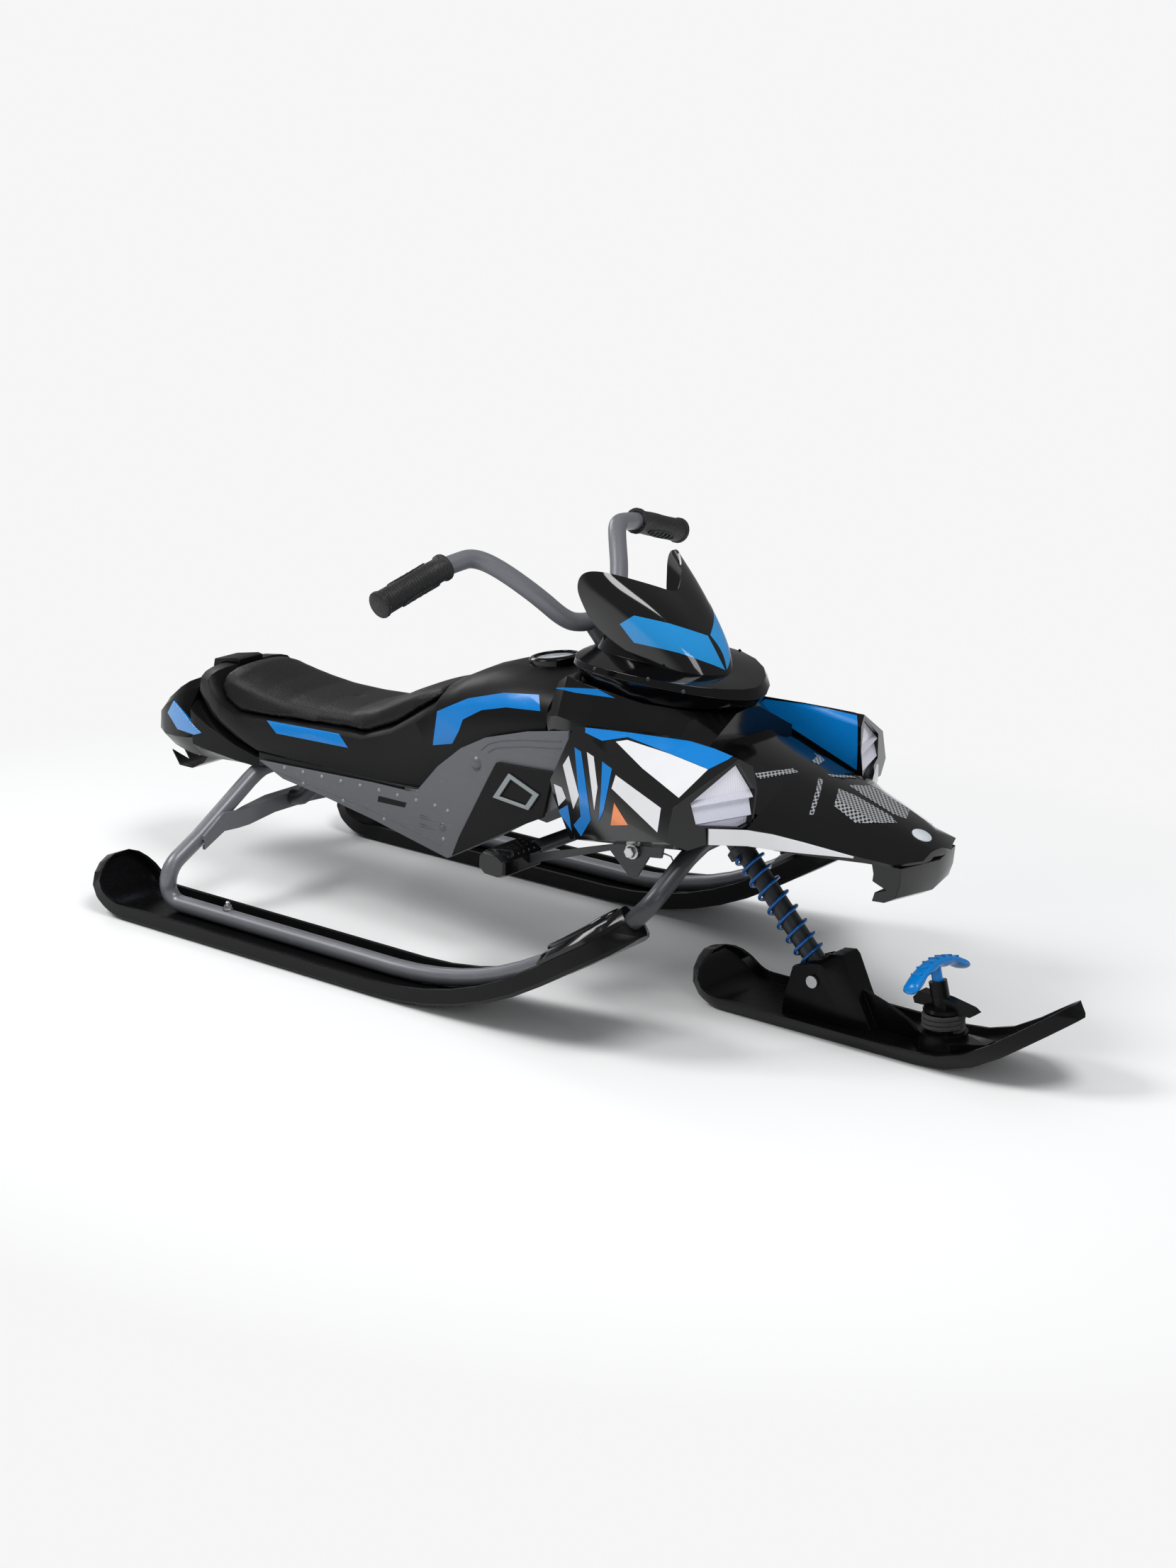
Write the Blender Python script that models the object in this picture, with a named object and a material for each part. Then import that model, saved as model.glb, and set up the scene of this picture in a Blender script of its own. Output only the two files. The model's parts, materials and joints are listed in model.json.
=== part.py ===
"""Steerable snow trike: two rear skis on a bent runner tube, one sprung front ski, a seat with a tank and a cowl.

Plan: +X forward, +Y the rider's left, Z up, floor at z = 0, metres. The plan's x zero is a point between the
skis; PLAN_SHIFT moves the finished object so that the origin is the middle of its bounding box.
"""

from math import atan2, cos, hypot, pi, radians, sin, sqrt, tan

import bmesh
import bpy
from mathutils import Matrix, Vector

# Clearances
GAP = 0.0003                      # between pieces that touch
RUNNING_GAP = 0.0006              # between a turning or sliding piece and its bore
PLAN_SHIFT = 0.0620

# Frame
TUBE_R = 0.010
TUBE_RESOLUTION = 4               # 12 sides
BEND_R = 0.036
ARC_STEP = radians(15)
LEG_X = -0.5025                   # rear legs and cross piece
CROSS_Z = 0.1490
HOOP_Z = 0.2090
HOOP_X = 0.1850
SPINE_Z = 0.1597

# Rear skis
SKI_SPREAD = 0.203                # middle plane to each rear ski's centre line
SKI_HALF = 0.047
SKI_WALL = 0.0045
SKI_WALL_TOP = 0.020
SKI_FLARE = 0.002                 # how far a wall leans out from sole to rim
SKI_FLOOR = 0.010
SKI_EDGE = 0.004
REAR_TIP = 0.045                  # lengths over which the tips round in plan
FRONT_TIP = 0.080
GROOVE_HALF = 0.009
GROOVE_DEPTH = 0.0025
REAR_FLAT = (-0.542, -0.150)
FRONT_CURVE_R = 0.460
RAMP_ANGLE = 31
RUNNER_FRONT_X = 0.124
SHOE_REAR_X = 0.069
SHOE_STEP_X = 0.100               # where the raised part of the shoe starts
SHOE_FRONT_X = 0.188
SHOE_LIP = 0.0035                 # height of the flat lip behind the shoe's step
SHOE_HEIGHTS = (0.0335, 0.0370)   # over the sole, at the shoe's rear and front
SHOE_HALF = 0.0455

# Steering axis: through the foot of the spring, leaning back
AXIS_FOOT = Vector((0.2588, 0.0, 0.0634))
AXIS_UP = Vector((-0.682, 0.0, 0.7316)).normalized()
AXIS_OUT = Vector((AXIS_UP.z, 0.0, -AXIS_UP.x))    # square to the axis, forward and up
ACROSS = Vector((0.0, 1.0, 0.0))
UP = Vector((0.0, 0.0, 1.0))
FORK_R = 0.0110
SLEEVE_R = 0.0135
HEAD_TUBE_R = 0.0170
HEAD_TUBE_SPAN = (0.168, 0.322)   # along the axis from its foot
SPINE_WELD = 0.300
COLLAR_R = 0.0180
COLLAR_THICK = 0.008
STEM_TOP = 0.4330
FORK_OVERLAP = 0.060              # how far the fork reaches up inside the sleeve
BAR_BEND_R = 0.050
BAR_MIDDLE = (-0.0390, 0.3850)
GRIP_START = Vector((-0.1110, 0.1600, 0.4590))
GRIP_END = Vector((-0.1190, 0.2500, 0.4330))
GRIP_R = 0.0135
GRIP_FLANGE_R = 0.0148

# Coil spring
SPRING_WIRE_R = 0.0019
SPRING_MEAN_R = 0.01425
SPRING_CURLS = 8.5
POINTS_PER_CURL = 10
SPRING_LENGTH = 0.137
SPRING_TRAVEL = 0.030
SPRING_SEAT_R = 0.0170
SPRING_SEAT_THICK = 0.003
CLOSED_TURNS = 0.028              # how far the pitch eases toward the spring's ends

# Front ski
FRONT_HALF = 0.0515
FRONT_WALL_TOP = 0.0165
FRONT_FLARE = 0.006
FRONT_FLAT = (0.167, 0.408)
PIVOT = Vector((0.270, 0.0, 0.0514))
PIVOT_BOLT_R = 0.004
PIVOT_HEAD_R = 0.007
TOWER_HALF = 0.0235
COLUMN_HALF = 0.0140
WEB_HALF = 0.0025
SLOT_HALF = 0.0185
SLOT_FRONT_X = 0.2830
KNUCKLE_R = 0.0105
KNUCKLE_HALF = 0.0180

# Tow gear
DRUM_X = 0.414
DRUM_FOOT_R = 0.0290              # the disc foot on the ski's floor
DRUM_R = 0.0175
DRUM_SPAN = (0.0270, 0.0490)
POST_FOOT = Vector((DRUM_X, 0.0, 0.0440))
POST_UP = Vector((-0.242, 0.0, 0.970)).normalized()
POST_R = 0.0095
POST_LENGTH = 0.0345
SOCKET_R = 0.0062
SOCKET_DEPTH = 0.0260
HORN_HALF = 0.0065
ROPE_R = 0.0023
ROPE_TURNS = 3.5
ROPE_PITCH = 2 * ROPE_R + 0.0005
ROPE_BEND_R = 0.005
POINTS_PER_LOOP = 24
HANDLE_HALF = 0.052
HANDLE_CROWN = 0.0515             # of the T-handle's bar, along the post from its foot

# Foot lever
LEVER_PIVOT = Vector((0.109, 0.0, 0.184))
LUG_R = 0.0125                    # the lug under the head tube that carries the pivot tube
LUG_HALF = 0.0080
PIVOT_TUBE_R = 0.0080
LEVER_BOLT_R = 0.0036
LEVER_BOLT_HEAD_R = 0.0085
FOOT_BAR = Vector((-0.050, 0.0, 0.1480))
FOOT_BAR_R = 0.0080
PEG_SPAN = (0.096, 0.160)
CLAW_Y = 0.1180
CLAW_THICK = 0.0030
CLAW_WELL_R = 0.0760              # the slot in the fender in which claw and wire spring swing
WELL_HALF = 0.0060
WIRE_R = 0.0010

# Seat, tank and panels
SHELL_HALF = 0.0745
SHELL_REAR_X = -0.6000
SHELL_FRONT_X = -0.0400
PANEL_THICK = 0.0035
PANEL_FLARE = (-0.300, -0.110)    # x where the panel starts and ends to flare
PANEL_HALVES = (SHELL_HALF + 0.0008, 0.0885)
INSET_THICK = 0.0045
TRIM_THICK = 0.0025
RING_CENTRE = Vector((-0.095, 0.0, 0.3335))
RING_R = 0.029
RING_DEPTH = 0.006
RING_TILT = radians(7)

# Cowl
FENDER_INNER = 0.0920
CORE_HALF = FENDER_INNER - GAP
CORE_FRONT_X = 0.1647
NOSE_WALL = 0.0035
LAMP_DEPTH = 0.0110
LAMP_STEP = 0.0050
BADGE_R = 0.0105
SKIRT_THICK = 0.0022

ORIGIN = Vector((0.0, 0.0, 0.0))
SIDES = (("left", 1), ("right", -1))

FINISHES = {
    "tube_grey": ((0.30, 0.31, 0.34), 0.38, 0.55),
    "tube_dark": ((0.055, 0.058, 0.062), 0.40, 0.50),
    "ski_black": ((0.012, 0.012, 0.013), 0.32, 0.0),
    "shoe_gloss": ((0.008, 0.008, 0.010), 0.10, 0.0),
    "seat_vinyl": ((0.014, 0.014, 0.016), 0.55, 0.0),
    "body_black": ((0.013, 0.013, 0.014), 0.42, 0.0),
    "gloss_black": ((0.006, 0.006, 0.008), 0.08, 0.0),
    "panel_grey": ((0.19, 0.20, 0.21), 0.48, 0.0),
    "trim_grey": ((0.24, 0.26, 0.27), 0.40, 0.0),
    "blue": ((0.010, 0.235, 0.760), 0.30, 0.0),
    "spring_blue": ((0.008, 0.100, 0.420), 0.35, 0.2),
    "reflector": ((0.80, 0.80, 0.90), 0.22, 0.0),
    "white": ((0.85, 0.85, 0.86), 0.35, 0.0),
    "screen_smoke": ((0.010, 0.010, 0.014), 0.06, 0.0),
    "grip_rubber": ((0.010, 0.010, 0.011), 0.65, 0.0),
    "zinc": ((0.62, 0.62, 0.60), 0.30, 0.9),
    "plate_dark": ((0.060, 0.060, 0.062), 0.45, 0.5),
    "rope_black": ((0.020, 0.020, 0.022), 0.80, 0.0),
    "disc_light": ((0.70, 0.72, 0.74), 0.35, 0.0),
}


def clear_scene():
    for thing in list(bpy.data.objects):
        bpy.data.objects.remove(thing, do_unlink=True)


def material(name):
    """The named finish as a Principled material, made once."""
    found = bpy.data.materials.get(name)
    if found:
        return found
    colour, roughness, metallic = FINISHES[name]
    made = bpy.data.materials.new(name)
    made.use_nodes = True
    shader = made.node_tree.nodes["Principled BSDF"]
    shader.inputs["Base Color"].default_value = (*colour, 1.0)
    shader.inputs["Roughness"].default_value = roughness
    shader.inputs["Metallic"].default_value = metallic
    made.diffuse_color = (*colour, 1.0)
    return made


def add_piece(name, mesh, finish, pivot=ORIGIN):
    """One named object whose origin is the pivot; the mesh comes in plan coordinates."""
    mesh.transform(Matrix.Translation(-pivot))
    mesh.materials.append(material(finish))
    mesh.shade_smooth()
    mesh.set_sharp_from_angle(angle=radians(32))
    piece = bpy.data.objects.new(name, mesh)
    piece.location = pivot
    bpy.context.collection.objects.link(piece)
    return piece


def finished_mesh(bm, name="shape"):
    """The bmesh as a mesh with its faces turned outward."""
    bmesh.ops.remove_doubles(bm, verts=bm.verts, dist=1e-7)
    bmesh.ops.recalc_face_normals(bm, faces=bm.faces)
    mesh = bpy.data.meshes.new(name)
    bm.to_mesh(mesh)
    bm.free()
    return mesh


def loft(rings):
    """A closed solid through rings that all have the same number of points, with a flat cap at each end."""
    bm = bmesh.new()
    loops = [[bm.verts.new(point) for point in ring] for ring in rings]
    count = len(rings[0])
    for near, far in zip(loops, loops[1:]):
        for i in range(count):
            j = (i + 1) % count
            bm.faces.new((near[i], near[j], far[j], far[i]))
    bm.faces.new(loops[0])
    bm.faces.new(loops[-1])
    return finished_mesh(bm)


def plate(outline, y_near, y_far):
    """A plate whose (x, z) outline is extruded across the object, from y_near to y_far."""
    bm = bmesh.new()
    face = bm.faces.new([bm.verts.new((x, y_near, z)) for x, z in outline])
    grown = bmesh.ops.extrude_face_region(bm, geom=[face])
    moved = [item for item in grown["geom"] if isinstance(item, bmesh.types.BMVert)]
    bmesh.ops.translate(bm, verts=moved, vec=(0.0, y_far - y_near, 0.0))
    return finished_mesh(bm)


def hull(points):
    """The convex body with the given corners."""
    bm = bmesh.new()
    corners = [bm.verts.new(point) for point in points]
    made = bmesh.ops.convex_hull(bm, input=corners)
    loose = {item for key in ("geom_interior", "geom_unused") for item in made[key]}
    bmesh.ops.delete(bm, geom=[v for v in loose if isinstance(v, bmesh.types.BMVert)], context="VERTS")
    bmesh.ops.dissolve_limit(bm, angle_limit=radians(0.5), verts=bm.verts, edges=bm.edges)
    return finished_mesh(bm)


def turned(profile, base, axis, steps):
    """A (radius, height) profile, closed or ending on the axis, turned about the axis through the base."""
    bm = bmesh.new()
    points = [bm.verts.new((radius, 0.0, height)) for radius, height in profile]
    ends_on_axis = profile[0][0] == 0.0 and profile[-1][0] == 0.0
    pairs = list(zip(points, points[1:])) + ([] if ends_on_axis else [(points[-1], points[0])])
    edges = [bm.edges.new(pair) for pair in pairs]
    bmesh.ops.spin(
        bm, geom=points + edges, cent=(0, 0, 0), axis=(0, 0, 1), angle=2 * pi, steps=steps, use_merge=True
    )
    bmesh.ops.remove_doubles(bm, verts=bm.verts, dist=1e-6)
    turn = Vector((0, 0, 1)).rotation_difference(axis).to_matrix().to_4x4()
    bmesh.ops.transform(bm, matrix=Matrix.Translation(base) @ turn, verts=bm.verts)
    return finished_mesh(bm)


def on_axis(distance):
    return AXIS_FOOT + AXIS_UP * distance


def mirrored(mesh):
    """The mesh reflected in the middle plane."""
    copy = mesh.copy()
    copy.transform(Matrix.Scale(-1, 4, (0, 1, 0)))
    copy.flip_normals()
    return copy


def for_side(mesh, hand):
    """A mesh drawn for the left side (+Y), as it is on the side given."""
    return mesh if hand > 0 else mirrored(mesh)


def bent(corners, radius):
    """A polyline through the corners with each inner corner rounded to an arc of the radius."""
    points = [Vector(corner) for corner in corners]
    path = [points[0]]
    for before, corner, after in zip(points, points[1:], points[2:]):
        back = (before - corner).normalized()
        ahead = (after - corner).normalized()
        turn = pi - back.angle(ahead)
        if turn < radians(1):
            path.append(corner)
            continue
        room = 0.49 * min((before - corner).length, (after - corner).length)
        reach = min(radius * tan(turn / 2), room)
        bend = reach / tan(turn / 2)
        centre = corner + (back + ahead).normalized() * (bend / cos(turn / 2))
        start = corner + back * reach - centre
        spin_axis = start.cross(corner + ahead * reach - centre).normalized()
        steps = max(2, round(turn / ARC_STEP))
        for step in range(steps + 1):
            path.append(centre + Matrix.Rotation(turn * step / steps, 3, spin_axis) @ start)
    path.append(points[-1])
    return path


def tube_curve(name, path, radius, resolution=TUBE_RESOLUTION):
    """A curve object with a round bevel and filled caps along the path."""
    curve = bpy.data.curves.new(name, "CURVE")
    curve.dimensions = "3D"
    curve.bevel_depth = radius
    curve.bevel_resolution = resolution
    curve.use_fill_caps = True
    spline = curve.splines.new("POLY")
    spline.points.add(len(path) - 1)
    for point, place in zip(spline.points, path):
        point.co = (*place, 1.0)
    return bpy.data.objects.new(name, curve)


def tube_mesh(path, radius, resolution=TUBE_RESOLUTION):
    """The same tube as a closed mesh."""
    guide = tube_curve("guide", path, radius, resolution)
    bm = bmesh.new()
    bm.from_mesh(bpy.data.meshes.new_from_object(guide))
    bpy.data.objects.remove(guide, do_unlink=True)
    bmesh.ops.remove_doubles(bm, verts=bm.verts, dist=1e-6)
    return finished_mesh(bm)


def boolean(piece, mesh, operation="DIFFERENCE"):
    """Cuts the piece with the mesh, or joins the mesh to it; the tool stays in the scene as a wire guide."""
    tool = bpy.data.objects.new(piece.name + "_tool", mesh)
    bpy.context.collection.objects.link(tool)
    tool.hide_render = True
    tool.display_type = "WIRE"
    modifier = piece.modifiers.new(operation.title(), "BOOLEAN")
    modifier.operation = operation
    modifier.solver = "EXACT"
    modifier.object = tool
    return tool


def cut_round(piece, base, axis, radius, span, steps):
    """Cuts a round hole along the axis through the base, over the span given along it."""
    low, high = span
    return boolean(piece, turned([(0, low), (radius, low), (radius, high), (0, high)], base, axis, steps))


def mirror_path(path):
    """The path, which ends in the middle plane, followed by its mirror image."""
    return path + [Vector((p.x, -p.y, p.z)) for p in reversed(path[:-1])]


class SoleLine:
    """The side profile of a ski's sole: a flat with a chain of bends and runs beyond each end."""

    def __init__(self, flat, rear_moves, front_moves):
        rear = self.walk(rear_moves)
        front = self.walk(front_moves)
        line = [(flat[0] - x, z, -pitch) for x, z, pitch in reversed(rear)]
        line += [(flat[0], 0.0, 0.0), (flat[1], 0.0, 0.0)]
        line += [(flat[1] + x, z, pitch) for x, z, pitch in front]
        self.line = line
        self.lengths = [0.0]
        for (xa, za, _), (xb, zb, _) in zip(line, line[1:]):
            self.lengths.append(self.lengths[-1] + hypot(xb - xa, zb - za))

    @staticmethod
    def walk(moves):
        """Places (x, z, pitch) reached by (bend radius, degrees) and (None, length) moves from a level start."""
        x, z, pitch, places = 0.0, 0.0, 0.0, []
        for radius, amount in moves:
            if radius is None:
                x, z = x + amount * cos(pitch), z + amount * sin(pitch)
                places.append((x, z, pitch))
                continue
            steps = max(2, round(abs(amount) / 10), round(radius * radians(abs(amount)) / 0.045))
            for _ in range(steps):
                turn = radians(amount) / steps
                chord = 2 * radius * sin(turn / 2)
                x, z = x + chord * cos(pitch + turn / 2), z + chord * sin(pitch + turn / 2)
                pitch += turn
                places.append((x, z, pitch))
        return places

    @property
    def length(self):
        return self.lengths[-1]

    def at(self, s):
        """(x, z, pitch) at the distance s from the rear tip."""
        for i in range(len(self.lengths) - 1):
            if s <= self.lengths[i + 1] or i == len(self.lengths) - 2:
                share = (s - self.lengths[i]) / (self.lengths[i + 1] - self.lengths[i])
                a, b = self.line[i], self.line[i + 1]
                return tuple(u + (v - u) * share for u, v in zip(a, b))

    def point(self, s, y, height):
        """The point at the height over the sole, square to it."""
        x, z, pitch = self.at(s)
        return Vector((x - height * sin(pitch), y, z + height * cos(pitch)))

    def s_of_x(self, x):
        low, high = 0.0, self.length
        for _ in range(40):
            middle = (low + high) / 2
            low, high = (middle, high) if self.at(middle)[0] < x else (low, middle)
        return low

    def stations(self):
        """Distances for the rings: every bend step, and closer together where the tips round."""
        angles = (14, 32, 50, 70, 90)
        rear = [REAR_TIP * (1 - cos(radians(angle))) for angle in angles]
        front = [self.length - FRONT_TIP * (1 - cos(radians(angle))) for angle in reversed(angles)]
        return rear + [s for s in self.lengths if REAR_TIP * 1.1 < s < front[0] - FRONT_TIP * 0.1] + front


def rounded_half(sole, s, half):
    """Half width of a ski at the distance s from its rear tip: full along the ski, round at both tips."""
    reach = min(1.0, s / REAR_TIP, (sole.length - s) / FRONT_TIP)
    return half * sqrt(max(0.0, 1 - (1 - reach) ** 2))


def ski_mesh(sole, half, wall_top, flare):
    """A channel ski with leaning rims all round, rounded tips and a tracking groove under the sole."""
    def ring(s, floor):
        w = rounded_half(sole, s, half)
        edge = min(SKI_EDGE, w * 0.3)
        wall = min(SKI_WALL, w * 0.3)
        foot = w - min(flare, w * 0.2)
        groove = min(GROOVE_HALF, w * 0.3)
        depth = GROOVE_DEPTH if REAR_TIP < s < sole.length - FRONT_TIP else GROOVE_DEPTH * 0.02
        outline = [
            (groove + 0.002, 0.0), (foot - edge, 0.0), (foot, edge), (w, wall_top), (w - wall, wall_top),
            (foot - wall * 1.2, floor),
        ]
        far = [(-y, h) for y, h in reversed(outline)]
        return [sole.point(s, y, h) for y, h in [*outline, *far, (-groove, depth), (groove, depth)]]

    lip = SKI_WALL * 1.3
    rings = []
    for s in sole.stations():
        inside = lip < s < sole.length - lip
        rings.append(ring(s, SKI_FLOOR if inside else wall_top - 0.0004))
    return loft(rings)


REAR_SOLE = SoleLine(
    REAR_FLAT,
    rear_moves=[(0.060, 70), (None, 0.020)],
    front_moves=[(FRONT_CURVE_R, RAMP_ANGLE), (None, 0.095), (0.080, 14), (None, 0.008)],
)
FRONT_SOLE = SoleLine(
    FRONT_FLAT,
    rear_moves=[(0.050, 78), (None, 0.010)],
    front_moves=[(0.169, 34.5), (None, 0.084)],
)
SEATED = SKI_FLOOR + GAP + TUBE_R     # height of a tube's centre line over the sole it lies on


def runner_path():
    """Centre line of the bent tube, from inside the left shoe to the middle of the cross piece."""
    s_front = REAR_SOLE.s_of_x(RUNNER_FRONT_X)
    s_flat = REAR_SOLE.s_of_x(REAR_FLAT[1])
    count = 9
    front = [REAR_SOLE.point(s_front + (s_flat - s_front) * i / count, SKI_SPREAD, SEATED) for i in range(count + 1)]
    corners = [
        front[-1],
        Vector((-0.5070, SKI_SPREAD + 0.0005, SEATED)),
        Vector((-0.5035, SKI_SPREAD + 0.0050, 0.0600)),
        Vector((LEG_X, 0.1570, 0.0870)),
        Vector((LEG_X, 0.0750, 0.1370)),
        Vector((-0.5000, 0.0560, CROSS_Z)),
        Vector((-0.5000, 0.0, CROSS_Z)),
    ]
    return front[:-1] + bent(corners, BEND_R)


def hoop_path():
    """Centre line of the front hoop, from inside the left shoe to the middle plane."""
    corners = [
        REAR_SOLE.point(REAR_SOLE.s_of_x(0.1365), SKI_SPREAD, SEATED),
        (0.1621, SKI_SPREAD, 0.1346),
        (0.1736, SKI_SPREAD, 0.1436),
        (0.1955, SKI_SPREAD - 0.002, 0.1655),
        (0.2015, 0.1500, 0.2030),
        (0.1950, 0.1150, HOOP_Z),
        (HOOP_X, 0.0, HOOP_Z),
    ]
    return bent(corners, BEND_R)


def spine_path():
    """Centre line of the spine: from the rear brace, under the seat, up to the head tube."""
    weld = on_axis(SPINE_WELD) - AXIS_OUT * (HEAD_TUBE_R + GAP)
    corners = [
        (-0.5048, 0, 0.0985), (-0.4900, 0, 0.1010), (-0.4650, 0, 0.1235), (-0.4300, 0, 0.1430),
        (-0.3850, 0, SPINE_Z), (-0.2000, 0, SPINE_Z), (-0.0500, 0, 0.1960), weld - AXIS_OUT * 0.045, weld,
    ]
    return bent(corners, BEND_R)


def add_tube(name, path, radius, finish, pivot=ORIGIN):
    """A piece that is one bent round tube, kept as a bevelled curve."""
    tube = tube_curve(name, [point - pivot for point in path], radius)
    tube.location = pivot
    tube.data.materials.append(material(finish))
    bpy.context.collection.objects.link(tube)
    return tube


def build_frame():
    add_tube("runner_tube", mirror_path(runner_path()), TUBE_R, "tube_grey")
    add_tube("front_hoop", mirror_path(hoop_path()), TUBE_R, "tube_dark")
    add_piece("rear_brace", rear_brace_mesh(), "tube_grey")
    add_tube("spine_tube", spine_path(), TUBE_R, "tube_dark")

    bore = SLEEVE_R + RUNNING_GAP
    low, high = HEAD_TUBE_SPAN
    profile = [(bore, 0), (HEAD_TUBE_R, 0), (HEAD_TUBE_R, high - low), (bore, high - low)]
    head = add_piece("head_tube", turned(profile, on_axis(low), AXIS_UP, 20), "tube_dark")
    lug = [(0, -LUG_HALF), (LUG_R, -LUG_HALF), (LUG_R, LUG_HALF), (0, LUG_HALF)]
    boolean(head, turned(lug, LEVER_PIVOT, ACROSS, 16), "UNION")
    cut_round(head, LEVER_PIVOT, ACROSS, PIVOT_TUBE_R + GAP, (-0.02, 0.02), 12)

    reach = ACROSS * (CLAW_Y - CLAW_THICK / 2 - 0.0040)
    add_tube("lever_pivot_tube", [LEVER_PIVOT - reach, LEVER_PIVOT + reach], PIVOT_TUBE_R, "tube_dark")

    low_corner, high_corner = on_axis(low + 0.004), on_axis(low + 0.044)
    outline = [
        (low_corner.x, low_corner.z), (HOOP_X, HOOP_Z - 0.004), (HOOP_X, HOOP_Z + 0.006), (high_corner.x, high_corner.z),
    ]
    gusset = add_piece("head_gusset", plate(outline, -0.002, 0.002), "tube_dark")
    cut_round(gusset, AXIS_FOOT, AXIS_UP, HEAD_TUBE_R + GAP, (low - 0.05, high + 0.05), 20)
    cut_round(gusset, Vector((HOOP_X, 0.0, HOOP_Z)), ACROSS, TUBE_R + GAP, (-0.05, 0.05), 20)


def rear_brace_mesh():
    """The pressed cross brace: flat feet bolted to the legs, drawn in to a channel at the middle."""
    flat_x = LEG_X + TUBE_R + GAP + 0.002
    stations = (
        # y, x, z, half depth in x, half height in z
        (0.1620, flat_x, 0.0830, 0.0020, 0.0080),
        (0.1300, flat_x, 0.1010, 0.0020, 0.0110),
        (0.1080, flat_x, 0.0990, 0.0020, 0.0105),
        (0.0850, -0.4990, 0.0965, 0.0060, 0.0100),
        (0.0300, -0.5150, 0.0950, 0.0085, 0.0090),
    )
    far = [(-y, *rest) for y, *rest in reversed(stations)]
    rings = []
    for y, x, z, depth, height in [*stations, *far]:
        lip = height * 0.45
        section = [
            (-depth, -height), (depth, -height), (depth, height), (-depth, height),
            (-depth, lip), (depth * 0.4, lip), (depth * 0.4, -lip), (-depth, -lip),
        ]
        rings.append([Vector((x + u, y, z + v)) for u, v in section])
    return loft(rings)


def build_rear_skis():
    shared = ski_mesh(REAR_SOLE, SKI_HALF, SKI_WALL_TOP, SKI_FLARE)
    for side, hand in SIDES:
        mesh = shared if hand > 0 else shared.copy()
        ski = add_piece("rear_ski_" + side, mesh, "ski_black")
        ski.location.y = hand * SKI_SPREAD
        hoop = for_side(tube_mesh(hoop_path(), TUBE_R + GAP), hand)
        boolean(ski, hoop)

        shoe = add_piece("ski_shoe_" + side, for_side(shoe_mesh(), hand), "shoe_gloss")
        for path in (runner_path(), hoop_path()):
            boolean(shoe, for_side(tube_mesh(path, TUBE_R + GAP), hand))


def shoe_mesh():
    """The moulded housing over the tube ends: a wedge with an arched top that follows the ski's front."""
    start, step, end = (REAR_SOLE.s_of_x(x) for x in (SHOE_REAR_X, SHOE_STEP_X, SHOE_FRONT_X))
    base = SKI_WALL_TOP + 2 * GAP
    count = 7
    places = [(start, base + SHOE_LIP), (step - SHOE_LIP, base + SHOE_LIP)]
    for i in range(count + 1):
        share = i / count
        rise = (SHOE_HEIGHTS[1] - SHOE_HEIGHTS[0]) * sin(share * pi / 2)
        places.append((step + (end - step) * share, SHOE_HEIGHTS[0] + rise))
    rings = []
    for s, top in places:
        half = min(SHOE_HALF, rounded_half(REAR_SOLE, s, SKI_HALF) - 0.0015)
        side = base + (top - base) * 0.30
        outline = [(half, base), (half, side), (half * 0.81, base + (top - base) * 0.65), (half * 0.44, top - 0.0006)]
        outline += [(half * 0.15, top)]
        outline += [(-y, h) for y, h in reversed(outline)]
        rings.append([REAR_SOLE.point(s, SKI_SPREAD + y, h) for y, h in outline])
    return loft(rings)


def build_lever():
    """The foot lever: a cross bar with two studded pedals, hung by two claw plates on the pivot tube."""
    reach = ACROSS * (PEG_SPAN[0] - GAP)
    add_tube("foot_bar", [FOOT_BAR - reach, FOOT_BAR + reach], FOOT_BAR_R, "plate_dark", LEVER_PIVOT)
    for side, hand in SIDES:
        add_piece("foot_pedal_" + side, for_side(pedal_mesh(), hand), "ski_black", LEVER_PIVOT)
        claw = add_piece("brake_claw_" + side, for_side(claw_mesh(), hand), "plate_dark", LEVER_PIVOT)
        cut_round(claw, LEVER_PIVOT + ACROSS * (hand * CLAW_Y), ACROSS, LEVER_BOLT_R + GAP, (-0.01, 0.01), 12)
        add_piece("pivot_bolt_" + side, for_side(lever_bolt_mesh(), hand), "zinc", LEVER_PIVOT)
        spring = tube_mesh(wire_spring_path(hand), WIRE_R, 1)
        add_piece("claw_spring_" + side, spring, "zinc", LEVER_PIVOT)


def pedal_mesh():
    """A moulded foot pedal with a domed top tread, drawn for the left side."""
    near, far = PEG_SPAN
    section = [
        (-0.0190, 0.0060), (-0.0130, 0.0115), (0.0080, 0.0100), (0.0180, 0.0040),
        (0.0170, -0.0120), (0.0080, -0.0160), (-0.0120, -0.0150), (-0.0200, -0.0080),
    ]
    rings = []
    for y, scale in ((near, 0.90), (near + 0.004, 1.0), (far - 0.006, 1.0), (far, 0.88)):
        rings.append([Vector((FOOT_BAR.x + x * scale, y, FOOT_BAR.z + z * scale)) for x, z in section])
    return loft(rings)


def claw_mesh():
    """The pointed brake plate with its wing and the arm back to the pedal, drawn for the left side."""
    head = [
        (-0.031, -0.006), (-0.005, -0.030), (0.005, -0.027), (0.020, -0.003), (0.036, -0.001),
        (0.040, 0.018), (0.024, 0.024), (-0.006, 0.022), (-0.020, 0.004),
    ]
    arm = [(0.0183, 0.0040), (0.0178, -0.0065)]
    outline = [(LEVER_PIVOT.x + x, LEVER_PIVOT.z + z) for x, z in head]
    outline += [(FOOT_BAR.x + x, FOOT_BAR.z + z) for x, z in arm]
    outline += [(LEVER_PIVOT.x - 0.040, LEVER_PIVOT.z - 0.009)]
    return plate(outline, CLAW_Y - CLAW_THICK / 2, CLAW_Y + CLAW_THICK / 2)


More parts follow.
